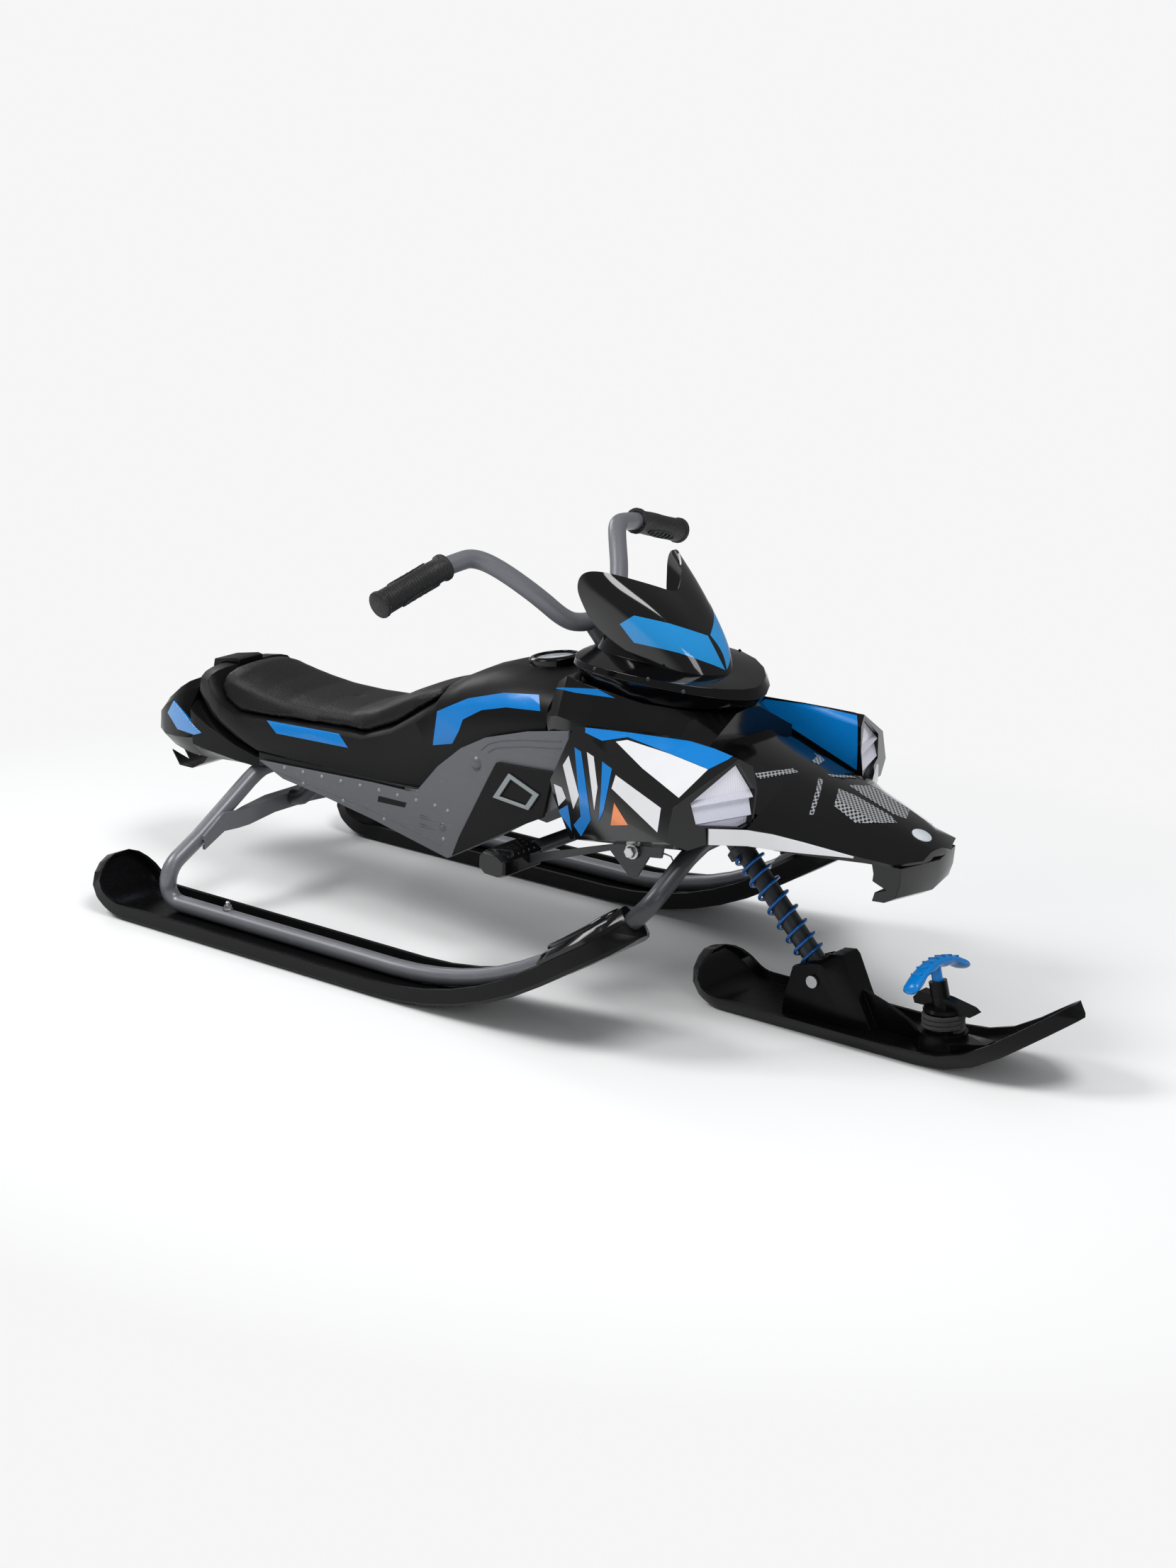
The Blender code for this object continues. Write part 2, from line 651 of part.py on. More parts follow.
def lever_bolt_mesh():
    """A flanged bolt with its nut, through the claw, drawn for the left side."""
    face = CLAW_THICK / 2 + GAP
    nut_r = LEVER_BOLT_HEAD_R * 0.62
    profile = [
        (0, -face - 0.0030), (LEVER_BOLT_R, -face - 0.0030), (LEVER_BOLT_R, face), (LEVER_BOLT_HEAD_R, face),
        (LEVER_BOLT_HEAD_R, face + 0.0035), (nut_r, face + 0.0040), (nut_r, face + 0.0085), (0, face + 0.0085),
    ]
    return turned(profile, LEVER_PIVOT + ACROSS * CLAW_Y, ACROSS, 12)


def wire_spring_path(hand):
    """The wire return spring: a loop that stands out ahead of the claw."""
    loop_r = 0.014
    centre = LEVER_PIVOT + Vector((0.0445 + loop_r, 0, 0.006))
    seat = hand * (CLAW_Y - CLAW_THICK / 2 - GAP - WIRE_R)
    points = [LEVER_PIVOT + Vector((0.0240, seat, 0.0040)), LEVER_PIVOT + Vector((0.0390, seat, 0.0030))]
    for i in range(13):
        angle = radians(-160 + 300 * i / 12)
        side = seat + hand * 0.0006 * i
        points.append(centre + Vector((loop_r * cos(angle), side, 0.86 * loop_r * sin(angle))))
    return points


SHELL_STATIONS = (
    # x, bottom z, top z, half at the bottom, half at the side, squareness of the top
    (SHELL_REAR_X, 0.2160, 0.2525, 0.0500, 0.0560, 3.0),
    (-0.5900, 0.2090, 0.2555, 0.0590, 0.0660, 3.5),
    (-0.5720, 0.1990, 0.2560, 0.0660, 0.0720, 4.5),
    (-0.5650, 0.1960, 0.2430, 0.0680, 0.0735, 7.0),
    (-0.5500, 0.1900, 0.2255, 0.0700, 0.0745, 7.0),
    (-0.5250, 0.1800, 0.2145, 0.0715, 0.0745, 7.0),
    (-0.4900, 0.1700, 0.2165, 0.0725, 0.0745, 7.0),
    (-0.4550, 0.1700, 0.2185, 0.0730, 0.0745, 7.0),
    (-0.3980, 0.1700, 0.2225, 0.0730, 0.0745, 7.0),
    (-0.3200, 0.1700, 0.2250, 0.0730, 0.0750, 7.0),
    (-0.2760, 0.1705, 0.2425, 0.0730, 0.0760, 6.0),
    (-0.2320, 0.1720, 0.2705, 0.0730, 0.0790, 5.0),
    (-0.2120, 0.1800, 0.2830, 0.0735, 0.0805, 4.2),
    (-0.2015, 0.1850, 0.3017, 0.0740, 0.0815, 3.2),
    (-0.1700, 0.1980, 0.3170, 0.0750, 0.0835, 2.6),
    (-0.1390, 0.2080, 0.3270, 0.0750, 0.0850, 2.4),
    (-0.0950, 0.2210, 0.3330, 0.0740, 0.0850, 2.4),
    (SHELL_FRONT_X, 0.2340, 0.3300, 0.0720, 0.0830, 2.6),
)


def shell_ring(x, low, high, half_low, half_side, squareness):
    """One cross-section of the seat shell, from the bottom round to the crowned top."""
    middle = low + (high - low) * 0.45
    near = [(0.0, low), (half_low - 0.006, low), (half_low, low + 0.005), (half_side, middle)]
    for angle in (22, 42, 60, 76):
        y = half_side * cos(radians(angle)) ** (2 / squareness)
        z = middle + (high - middle) * sin(radians(angle)) ** (2 / squareness)
        near.append((y, z))
    near.append((0.0, high))
    return mirror_ring(x, near)


def mirror_ring(x, near):
    """A closed cross-section at x from its left half, whose first and last points lie in the middle plane."""
    far = [(-y, z) for y, z in reversed(near[1:-1])]
    return [Vector((x, y, z)) for y, z in [*near, *far]]


def between(rows, x):
    """The row of values at x, read between the stations either side of it."""
    for a, b in zip(rows, rows[1:]):
        if a[0] <= x <= b[0]:
            share = (x - a[0]) / (b[0] - a[0])
            return tuple(u + (v - u) * share for u, v in zip(a[1:], b[1:]))
    return rows[-1][1:]


def build_seat():
    shell = add_piece("seat_shell", loft([shell_ring(*row) for row in SHELL_STATIONS]), "body_black")
    up = Matrix.Rotation(-RING_TILT, 3, "Y") @ UP
    cut_round(shell, RING_CENTRE, up, RING_R + GAP, (-RING_DEPTH - GAP, 0.030), 28)
    inner = RING_R - 0.007
    ring = [
        (inner, -RING_DEPTH), (RING_R, -RING_DEPTH), (RING_R, 0.0020), (RING_R - 0.003, 0.0045), (inner + 0.001, 0.0045),
    ]
    add_piece("filler_ring", turned(ring, RING_CENTRE, up, 28), "gloss_black")
    lid_r = inner - GAP
    lid = [(0, -RING_DEPTH), (lid_r, -RING_DEPTH), (lid_r, 0.0010), (lid_r - 0.002, 0.0020), (0, 0.0020)]
    add_piece("filler_lid", turned(lid, RING_CENTRE, up, 28), "disc_light")

    add_piece("seat_pad", pad_mesh(), "seat_vinyl")
    deck = [(x, between(SHELL_STATIONS, x)[1] + GAP) for x in (-0.5690, -0.5720, -0.5900)]
    outline = [(-0.6180, 0.2349), (-0.6130, 0.2560), (-0.5760, 0.2625), (-0.5690, 0.2615), *deck]
    outline += [(SHELL_REAR_X - GAP, 0.2530), (SHELL_REAR_X - GAP, 0.2425)]
    add_piece("seat_tab", plate(outline, -0.019, 0.019), "body_black")


PAD_STATIONS = (
    # x, top z at the middle, half width at the seam, half width at the shoulder
    (-0.5615, 0.2570, 0.0560, 0.0400),
    (-0.5560, 0.2600, 0.0600, 0.0450),
    (-0.5400, 0.2605, 0.0625, 0.0480),
    (-0.5200, 0.2565, 0.0640, 0.0490),
    (-0.4900, 0.2500, 0.0650, 0.0495),
    (-0.4500, 0.2440, 0.0650, 0.0500),
    (-0.4000, 0.2425, 0.0650, 0.0500),
    (-0.3500, 0.2450, 0.0650, 0.0500),
    (-0.3100, 0.2570, 0.0640, 0.0500),
    (-0.2800, 0.2725, 0.0630, 0.0500),
    (-0.2500, 0.2850, 0.0620, 0.0490),
    (-0.2130, 0.2945, 0.0560, 0.0400),
)


def pad_mesh():
    """The seat cushion: crowned on top, drawn in along its sides, lying on the shell's deck."""
    start, end = PAD_STATIONS[0][0], PAD_STATIONS[-1][0]
    places = sorted({row[0] for row in PAD_STATIONS} | {row[0] for row in SHELL_STATIONS if start < row[0] < end})
    rings = []
    for x in places:
        top, seam, shoulder = between(PAD_STATIONS, x)
        low = between(SHELL_STATIONS, x)[1] + GAP
        thick = top - low
        near = [
            (0.0, low), (seam - 0.002, low), (seam, low + 0.10 * thick), (seam - 0.0030, low + 0.30 * thick),
            (shoulder + 0.008, low + 0.62 * thick), (shoulder, low + 0.80 * thick),
            (shoulder * 0.72, low + 0.93 * thick), (shoulder * 0.36, low + 0.985 * thick), (0.0, top),
        ]
        rings.append(mirror_ring(x, near))
    return loft(rings)


TAIL_STATIONS = (
    # x, bottom z, top z, half width low, half width high
    (-0.6950, 0.1640, 0.1760, 0.0300, 0.0280),
    (-0.6860, 0.1530, 0.1880, 0.0440, 0.0420),
    (-0.6640, 0.1450, 0.2050, 0.0570, 0.0540),
    (-0.6360, 0.1420, 0.2240, 0.0650, 0.0620),
    (-0.6190, 0.1420, 0.2340, 0.0690, 0.0630),
    (-0.6006, 0.1430, 0.2420, 0.0715, 0.0560),
    (SHELL_REAR_X, 0.1430, 0.2160 - GAP, 0.0715, 0.0735),
    (-0.5900, 0.1435, 0.2090 - GAP, 0.0720, 0.0740),
    (-0.5720, 0.1450, 0.1990 - GAP, 0.0730, 0.0745),
    (-0.5500, 0.1465, 0.1900 - GAP, 0.0735, 0.0750),
    (-0.5250, 0.1475, 0.1800 - GAP, 0.0740, 0.0750),
    (-0.4900, 0.1490, 0.1700 - GAP, 0.0735, 0.0740),
    (-0.4600, 0.1580, 0.1700 - GAP, 0.0700, 0.0710),
)
LENS_OUTLINE = (
    (-0.6400, 0.2080), (-0.6560, 0.1895), (-0.6310, 0.1745), (-0.5950, 0.1750), (-0.5815, 0.1800), (-0.5935, 0.1860),
)


def build_tail():
    cowl = add_piece("tail_cowl", tail_cowl_mesh(), "gloss_black")
    boolean(cowl, tube_mesh(mirror_path(runner_path()), TUBE_R + GAP))
    for side, hand in SIDES:
        add_piece("tail_light_" + side, for_side(hull(lens_points(0.0)), hand), "blue")
        boolean(cowl, for_side(hull(lens_points(GAP)), hand))
    add_piece("tail_flap", flap_mesh(), "ski_black")


def lens_points(grow):
    """Corners of the tail light lens, which follows the cowl's side, grown by the clearance of its pocket."""
    middle = Vector((sum(x for x, _ in LENS_OUTLINE), sum(z for _, z in LENS_OUTLINE))) / len(LENS_OUTLINE)
    points = []
    for x, z in LENS_OUTLINE:
        away = (Vector((x, z)) - middle).normalized() * grow * 1.6
        low, high, half_low, half_high = between(TAIL_STATIONS, x)
        side = half_low + (half_high - half_low) * max(0.0, (z - low) / (high - low) - 0.28)
        points.append(Vector((x + away.x, side - 0.009 - grow, z + away.y)))
        points.append(Vector((x + away.x, side + 0.0015 + grow * 10, z + away.y)))
    return points


def tail_cowl_mesh():
    """The tail moulding that wraps under and behind the seat shell."""
    rings = []
    for x, low, high, half_low, half_high in TAIL_STATIONS:
        rise = high - low
        near = [
            (0.0, low), (half_low * 0.72, low), (half_low, low + rise * 0.28), (half_high, high - rise * 0.12),
            (half_high * 0.86, high), (0.0, high),
        ]
        rings.append(mirror_ring(x, near))
    return loft(rings)


def flap_mesh():
    """The toothed scoop under the tail: a curved sheet whose rear edge ends in four spikes."""
    profile = [(-0.6110, 0.1392), (-0.6220, 0.1270), (-0.6420, 0.1170), (-0.6640, 0.1170)]
    tip = (-0.6860, 0.1300)
    half, teeth, thick = 0.036, 4, 0.0030
    columns = 2 * teeth + 1
    bm = bmesh.new()
    rows = []
    for x, z in profile:
        rows.append([bm.verts.new((x, -half + 2 * half * i / (columns - 1), z)) for i in range(columns)])
    for near, far in zip(rows, rows[1:]):
        for i in range(columns - 1):
            bm.faces.new((near[i], near[i + 1], far[i + 1], far[i]))
    edge = rows[-1]
    for i in range(1, columns, 2):
        spike = bm.verts.new((tip[0], edge[i].co.y, tip[1]))
        bm.faces.new((edge[i - 1], edge[i], spike))
        bm.faces.new((edge[i], edge[i + 1], spike))
    grown = bmesh.ops.extrude_face_region(bm, geom=bm.faces[:])
    moved = [item for item in grown["geom"] if isinstance(item, bmesh.types.BMVert)]
    bmesh.ops.translate(bm, verts=moved, vec=(0.0, 0.0, thick))
    return finished_mesh(bm)


PANEL_OUTLINE = (
    (-0.4810, 0.1660), (-0.4420, 0.1500), (-0.3840, 0.1425), (-0.2480, 0.1200), (-0.1790, 0.1090), (-0.1000, 0.1500),
    (-0.0150, 0.2000), (0.0000, 0.2400), (0.0000, 0.2870), (-0.0590, 0.2760), (-0.1180, 0.2590), (-0.1560, 0.2400),
    (-0.1930, 0.2120), (-0.2270, 0.1770), (-0.2400, 0.1740),
)
INSET_OUTLINE = (
    (-0.0980, 0.2360), (-0.0180, 0.2395), (-0.0320, 0.1870), (-0.0730, 0.1670), (-0.1680, 0.1150), (-0.1560, 0.1400),
)
WINDOW_OUTLINE = ((-0.1010, 0.1970), (-0.0783, 0.2278), (-0.0358, 0.2117), (-0.0503, 0.1921))


def panel_half(x):
    """Inner face of the side panel: straight along the seat, flaring out ahead of it."""
    start, end = PANEL_FLARE
    share = min(1.0, max(0.0, (x - start) / (end - start)))
    return PANEL_HALVES[0] + (PANEL_HALVES[1] - PANEL_HALVES[0]) * share


def flared_plate(outline, inner, outer):
    """A plate whose faces follow the panel's flare, split where the flare starts and ends."""
    bm = bmesh.new()
    bm.faces.new([bm.verts.new((x, 0.0, z)) for x, z in outline])
    for x in PANEL_FLARE:
        geometry = bm.verts[:] + bm.edges[:] + bm.faces[:]
        bmesh.ops.bisect_plane(bm, geom=geometry, plane_co=(x, 0, 0), plane_no=(1, 0, 0))
    grown = bmesh.ops.extrude_face_region(bm, geom=bm.faces[:])
    outward = {item for item in grown["geom"] if isinstance(item, bmesh.types.BMVert)}
    for vert in bm.verts:
        vert.co.y = panel_half(vert.co.x) + (outer if vert in outward else inner)
    return finished_mesh(bm)


def build_panels():
    inset_start = PANEL_THICK + GAP
    trim_start = inset_start + INSET_THICK + GAP
    middle = Vector((sum(x for x, _ in WINDOW_OUTLINE), sum(z for _, z in WINDOW_OUTLINE))) / len(WINDOW_OUTLINE)
    opening = [tuple(middle + (Vector(corner) - middle) * 0.72) for corner in WINDOW_OUTLINE]
    for side, hand in SIDES:
        panel = flared_plate(PANEL_OUTLINE, 0.0, PANEL_THICK)
        add_piece("side_panel_" + side, for_side(panel, hand), "panel_grey")
        inset = flared_plate(INSET_OUTLINE, inset_start, inset_start + INSET_THICK)
        add_piece("panel_inset_" + side, for_side(inset, hand), "body_black")
        frame = flared_plate(WINDOW_OUTLINE, trim_start, trim_start + TRIM_THICK)
        trim = add_piece("window_trim_" + side, for_side(frame, hand), "trim_grey")
        boolean(trim, for_side(plate(opening, 0.080, 0.120), hand))


def build_cowl():
    core = add_piece("cowl_core", core_mesh(), "body_black")
    cut_round(core, AXIS_FOOT, AXIS_UP, HEAD_TUBE_R + GAP, (0.10, 0.50), 20)
    boolean(core, tube_mesh([*spine_path(), on_axis(SPINE_WELD)], TUBE_R + GAP))

    pod = add_piece("instrument_pod", pod_mesh(0.0), "gloss_black")
    cut_round(pod, AXIS_FOOT, AXIS_UP, SLEEVE_R + RUNNING_GAP, (0.10, 0.50), 20)

    screen = add_piece("windshield", screen_mesh(), "screen_smoke")
    shell = screen.modifiers.new("Solidify", "SOLIDIFY")
    shell.thickness = 0.0030
    shell.offset = -1.0
    boolean(screen, pod_mesh(GAP))

    nose = add_piece("nose_cowl", nose_mesh(), "body_black")
    badge_at = Vector((0.3806, 0.0, 0.2250))
    badge_up = Vector((0.385, 0, 0.923)).normalized()
    cut_round(nose, badge_at, badge_up, BADGE_R + GAP, (-GAP, 0.010), 24)
    badge = [(0, 0), (BADGE_R, 0), (BADGE_R, 0.0012), (BADGE_R - 0.0015, 0.0020), (0, 0.0020)]
    add_piece("nose_badge", turned(badge, badge_at, badge_up, 24), "disc_light")
    for side, hand in SIDES:
        fender = add_piece("fender_" + side, for_side(fender_mesh(), hand), "body_black")
        boolean(fender, for_side(loft(lamp_rings(GAP)), hand))
        boolean(fender, for_side(tube_mesh(hoop_path(), TUBE_R + GAP), hand))
        cut_round(fender, LEVER_PIVOT + ACROSS * (hand * CLAW_Y), ACROSS, CLAW_WELL_R, (-WELL_HALF, WELL_HALF), 24)
        add_piece("headlight_" + side, for_side(lamp_mesh(), hand), "reflector")
        add_piece("nose_skirt_" + side, for_side(skirt_mesh(), hand), "white")
    add_piece("bumper", bumper_mesh(), "body_black")


def pod_floor(x):
    """Height of the pod's flat underside, which slopes down toward the nose."""
    return 0.3430 - 0.112 * (x + 0.030)


def core_mesh():
    """The cowl's core between tank and nose, a box section with sloping shoulders under the pod."""
    stations = (
        # x, bottom z, half width, half width at the top
        (SHELL_FRONT_X + GAP, 0.2350, 0.0810, 0.0600),
        (-0.0200, 0.2300, 0.0870, 0.0700),
        (0.0020, 0.2270, 0.0880, 0.0750),
        (0.0300, 0.2250, CORE_HALF, 0.0770),
        (0.0850, 0.2250, CORE_HALF, 0.0760),
        (0.1350, 0.2250, 0.0900, 0.0520),
        (CORE_FRONT_X, 0.2300, 0.0800, 0.0200),
    )
    rings = []
    for x, low, half, half_top in stations:
        high = min(pod_floor(x) - GAP, 0.3300 + 0.60 * (x - SHELL_FRONT_X))
        shoulder = low + (high - low) * 0.62
        near = [
            (0.0, low), (half - 0.006, low), (half, low + 0.008), (half, shoulder), (half_top, high - 0.002), (0.0, high),
        ]
        rings.append(mirror_ring(x, near))
    return loft(rings)


POD_LEVELS = (
    # z at the rear, z at the front, power of the fall between them, rear x, front x, half width
    (0.3475, 0.3240, 4, -0.0365, 0.1720, 0.0820),
    (0.3525, 0.3330, 4, -0.0385, 0.1790, 0.0845),
    (0.3585, 0.3440, 4, -0.0370, 0.1740, 0.0820),
    (0.3620, 0.3500, 4, -0.0300, 0.1520, 0.0680),
    (0.3660, 0.3540, 3, -0.0180, 0.1280, 0.0520),
    (0.3880, 0.3880, 1, -0.0040, 0.0960, 0.0470),
    (0.3960, 0.3960, 1, 0.0010, 0.0850, 0.0440),
)


def pod_mesh(grow):
    """The gloss instrument pod: a boat-shaped rim that rises into the dash under the windshield."""
    rings = [boat_ring(-0.0300, 0.1620, 0.0740, grow, pod_floor)]
    for rear_z, front_z, power, rear, front, half in POD_LEVELS:
        def height(x, rear_z=rear_z, front_z=front_z, power=power, rear=rear, front=front):
            share = min(1.0, max(0.0, (x - rear) / (front - rear)))
            return rear_z + (front_z - rear_z) * share ** power + grow
        rings.append(boat_ring(rear, front, half, grow, height))
    return loft(rings)


def boat_ring(rear, front, half, grow, height):
    """A plan outline with a blunt rear and a pointed oval front, lifted to the height given for each x."""
    points = 24
    widest = rear + (front - rear) * 0.52
    ring = []
    for i in range(points):
        angle = 2 * pi * i / points
        ahead = cos(angle) > 0
        reach = front - widest + grow if ahead else widest - rear + grow
        x = widest + reach * (cos(angle) if ahead else -abs(cos(angle)) ** 0.60)
        side = abs(sin(angle)) ** (1.15 if ahead else 0.85)
        y = (half + grow) * side * (1 if sin(angle) > 0 else -1)
        ring.append(Vector((x, y, height(x))))
    return ring


def screen_mesh():
    """The windshield's outer skin: an upright band at the foot, raked back to a notch between two ears."""
    rows = (
        ((0.1400, 0.0, 0.3490), (0.1350, 0.0200, 0.3490), (0.1150, 0.0400, 0.3510), (0.0650, 0.0560, 0.3650),
         (0.0060, 0.0600, 0.3950)),
        ((0.1310, 0.0, 0.3730), (0.1260, 0.0200, 0.3740), (0.1080, 0.0400, 0.3790), (0.0560, 0.0600, 0.3900),
         (-0.0030, 0.0620, 0.4120)),
        ((0.1110, 0.0, 0.3920), (0.1060, 0.0200, 0.3970), (0.0900, 0.0400, 0.4060), (0.0440, 0.0640, 0.4160),
         (-0.0100, 0.0640, 0.4260)),
        ((0.0900, 0.0, 0.4140), (0.0850, 0.0180, 0.4190), (0.0700, 0.0370, 0.4290), (0.0330, 0.0640, 0.4360),
         (-0.0120, 0.0640, 0.4360)),
        ((0.0710, 0.0, 0.4290), (0.0640, 0.0150, 0.4360), (0.0480, 0.0360, 0.4450), (0.0160, 0.0620, 0.4560),
         (-0.0070, 0.0630, 0.4500)),
    )
    bm = bmesh.new()
    grid = []
    for row in rows:
        far = [(x, -y, z) for x, y, z in reversed(row[1:])]
        grid.append([bm.verts.new(point) for point in [*far, *row]])
    for low, high in zip(grid, grid[1:]):
        for i in range(len(low) - 1):
            bm.faces.new((low[i], low[i + 1], high[i + 1], high[i]))
    bmesh.ops.recalc_face_normals(bm, faces=bm.faces)
    if sum(face.normal.x * face.calc_area() for face in bm.faces) < 0:
        bmesh.ops.reverse_faces(bm, faces=bm.faces)
    mesh = bpy.data.meshes.new("windshield")
    bm.to_mesh(mesh)
    bm.free()
    return mesh


FENDER_TIP = Vector((0.2355, 0.1107, 0.3027))
FENDER_FACE = (
    # y, z of the front face's corners
    (0.1107, 0.3027), (0.1861, 0.2645), (0.1956, 0.2316), (0.1720, 0.2190), (0.1110, 0.2270), (0.0992, 0.2290),
    (FENDER_INNER, 0.2686), (0.0960, 0.2930),
)
FENDER_REST = (
    (0.0180, FENDER_INNER, 0.2930), (0.0130, 0.0990, 0.2960), (0.1100, 0.0960, 0.3060), (0.1750, 0.0980, 0.3070),
    (-0.0108, 0.1100, 0.2360), (-0.0040, 0.1130, 0.2200), (0.0250, 0.1200, 0.1800), (0.0400, 0.1020, 0.1880),
    (0.0060, 0.0960, 0.2400), (0.0120, FENDER_INNER, 0.2500), (0.0400, FENDER_INNER, 0.2000),
    (0.1200, 0.1480, 0.2100), (0.2100, FENDER_INNER, 0.2250),
)
LAMP_OUTLINE = (
    (0.1120, 0.2990), (0.1660, 0.2664), (0.1607, 0.2420), (0.1110, 0.2325), (0.1005, 0.2358), (0.0950, 0.2686),
)
LAMP_LEDGES = (0.2620, 0.2440)


def face_x(y, z):
    """The plane of the fender's front face."""
    return FENDER_TIP.x - 0.3695 * (y - FENDER_TIP.y) - 0.0618 * (z - FENDER_TIP.z)


def fender_mesh():
    """The faceted side cowl, drawn for the left side."""
    front = [Vector((face_x(y, z), y, z)) for y, z in FENDER_FACE]
    return hull([*front, *FENDER_REST])


def lamp_rings(grow):
    """The lamp pocket, grown by its clearance: a sunk ring and one standing clear of the face."""
    middle = Vector((sum(y for y, _ in LAMP_OUTLINE), sum(z for _, z in LAMP_OUTLINE))) / len(LAMP_OUTLINE)
    rings = []
    for offset in (-LAMP_DEPTH - grow, 0.020):
        ring = []
        for y, z in LAMP_OUTLINE:
            away = (Vector((y, z)) - middle).normalized() * grow * 1.6
            ring.append(Vector((face_x(y, z) + offset, y + away.x, z + away.y)))
        rings.append(ring)
    return rings


def lamp_mesh():
    """The faceted reflector: three stepped blades set back in the fender's face."""
    front_set = 0.0060
    bm = bmesh.new()
    near = [bm.verts.new((face_x(y, z) - LAMP_DEPTH, y, z)) for y, z in LAMP_OUTLINE]
    far = [bm.verts.new((face_x(y, z) - front_set, y, z)) for y, z in LAMP_OUTLINE]
    bm.faces.new(near)
    bm.faces.new(far)
    for i in range(len(LAMP_OUTLINE)):
        j = (i + 1) % len(LAMP_OUTLINE)
        bm.faces.new((near[i], near[j], far[j], far[i]))
    for ledge in LAMP_LEDGES:
        for z in (ledge, ledge - 0.0025):
            geometry = bm.verts[:] + bm.edges[:] + bm.faces[:]
            bmesh.ops.bisect_plane(bm, geom=geometry, plane_co=(0, 0, z), plane_no=(0, 0, 1))
    for vert in bm.verts:
        on_ledge = any(abs(vert.co.z - ledge) < 1e-5 for ledge in LAMP_LEDGES)
        if on_ledge and vert.co.x > face_x(vert.co.y, vert.co.z) - front_set - 1e-4:
            vert.co.x += LAMP_STEP
    return finished_mesh(bm)


NOSE_STATIONS = (
    # x, ridge z, half width of the flat top, half width at the edge, edge z, lip bottom z
    (0.1650, 0.2905, 0.0350, CORE_HALF, 0.2700, 0.2300),
    (0.2050, 0.2790, 0.0340, CORE_HALF, 0.2550, 0.2260),
    (0.2450, 0.2690, 0.0332, CORE_HALF, 0.2420, 0.2180),
    (0.2464, 0.2686, 0.0330, 0.1115, 0.2330, 0.2180),
    (0.2685, 0.2620, 0.0325, 0.0985, 0.2290, 0.2105),
    (0.3000, 0.2540, 0.0310, 0.0870, 0.2235, 0.2085),
    (0.3550, 0.2360, 0.0290, 0.0665, 0.2130, 0.2070),
    (0.3850, 0.2235, 0.0200, 0.0580, 0.2095, 0.2060),
    (0.3990, 0.2140, 0.0100, 0.0250, 0.2085, 0.2055),
)
NOSE_HOLLOW_END = (0.3670, 0.2270, 0.0240, 0.0590, 0.2100, 0.2070)
EDGE_DRAW = 0.003                 # how far the nose's lip is drawn in under its edge


def nose_ring(row, wall):
    """The open section of the nose from lip to lip, inside the wall when one is given."""
    x, ridge, top_half, half, edge, lip = row
    half -= wall
    near = [(half - EDGE_DRAW, lip), (half, edge - wall * 0.5), (top_half, ridge - wall), (0.0, ridge + 0.0006 - wall)]
    return [Vector((x, y, z)) for y, z in [*near, *((-y, z) for y, z in reversed(near[:-1]))]]


def nose_mesh():
    """The nose cowl: a thin faceted shell, open below and behind, whose flat top runs down to a solid prow."""
    hollow = []
    for x, *rest in NOSE_STATIONS[:-3]:
        shift = NOSE_WALL if x > 0.24 else 0.0
        hollow.append((x + shift, *rest))
    bm = bmesh.new()
    out = [[bm.verts.new(point) for point in nose_ring(row, 0.0)] for row in NOSE_STATIONS]
    ins = [[bm.verts.new(point) for point in nose_ring(row, NOSE_WALL)] for row in [*hollow, NOSE_HOLLOW_END]]
    for rows in (out, ins):
        for a, b in zip(rows, rows[1:]):
            for i in range(len(a) - 1):
                bm.faces.new((a[i], a[i + 1], b[i + 1], b[i]))
    for i in range(len(out[0]) - 1):
        bm.faces.new((out[0][i], out[0][i + 1], ins[0][i + 1], ins[0][i]))
    bm.faces.new(out[-1])
    bm.faces.new(ins[-1])
    for end in (0, -1):
        for i in range(len(ins) - 1):
            bm.faces.new((out[i][end], out[i + 1][end], ins[i + 1][end], ins[i][end]))
    prow = out[len(ins) - 1:]
    bm.faces.new([*(row[0] for row in prow), *(row[-1] for row in reversed(prow)), ins[-1][-1], ins[-1][0]])
    return finished_mesh(bm)


def skirt_mesh():
    """The white strip under the lamp and along the nose's lower edge, tapering forward to a point."""
    face = face_x(0.1500, 0.2220) + 2 * GAP
    places = (
        # inner x, inner y, top z, drop, outward direction
        (face, 0.1500, 0.2385, 0.0165, (0.94, 0.35)),
        (0.2464 + GAP, 0.1118 + GAP, 0.2320, 0.0165, (0.80, 0.60)),
        (0.2685 + GAP, 0.0985 + GAP, 0.2286, 0.0160, (0.42, 0.91)),
        (0.3000, 0.0870 + GAP, 0.2233, 0.0110, (0.36, 0.93)),
        (0.3470, 0.0697 + GAP, 0.2142, 0.0015, (0.36, 0.93)),
    )
    rings = []
    for x, y, top, drop, (ahead, aside) in places:
        out_x, out_y = x + ahead * SKIRT_THICK, y + aside * SKIRT_THICK
        rings.append([Vector(point) for point in (
            (x, y, top), (out_x, out_y, top), (out_x, out_y, top - drop), (x, y, top - drop),
        )])
    return loft(rings)


def bumper_mesh():
    """The chin bumper under the prow, C-shaped from the side and pointed in plan."""
    side = [(0.3540, 0.2066), (0.3570, 0.1930), (0.3560, 0.1850), (0.3720, 0.1790), (0.3590, 0.1740),
            (0.3560, 0.1640), (0.3830, 0.1650), (0.3960, 0.1720), (0.4010, 0.1860), (0.4030, 0.2051)]
    rings = []
    for y in (-0.050, -0.022, 0.0, 0.022, 0.050):
        back = abs(y) * 0.26
        rings.append([Vector((x - (back if x > 0.38 else 0.0), y, z)) for x, z in side])
    return loft(rings)


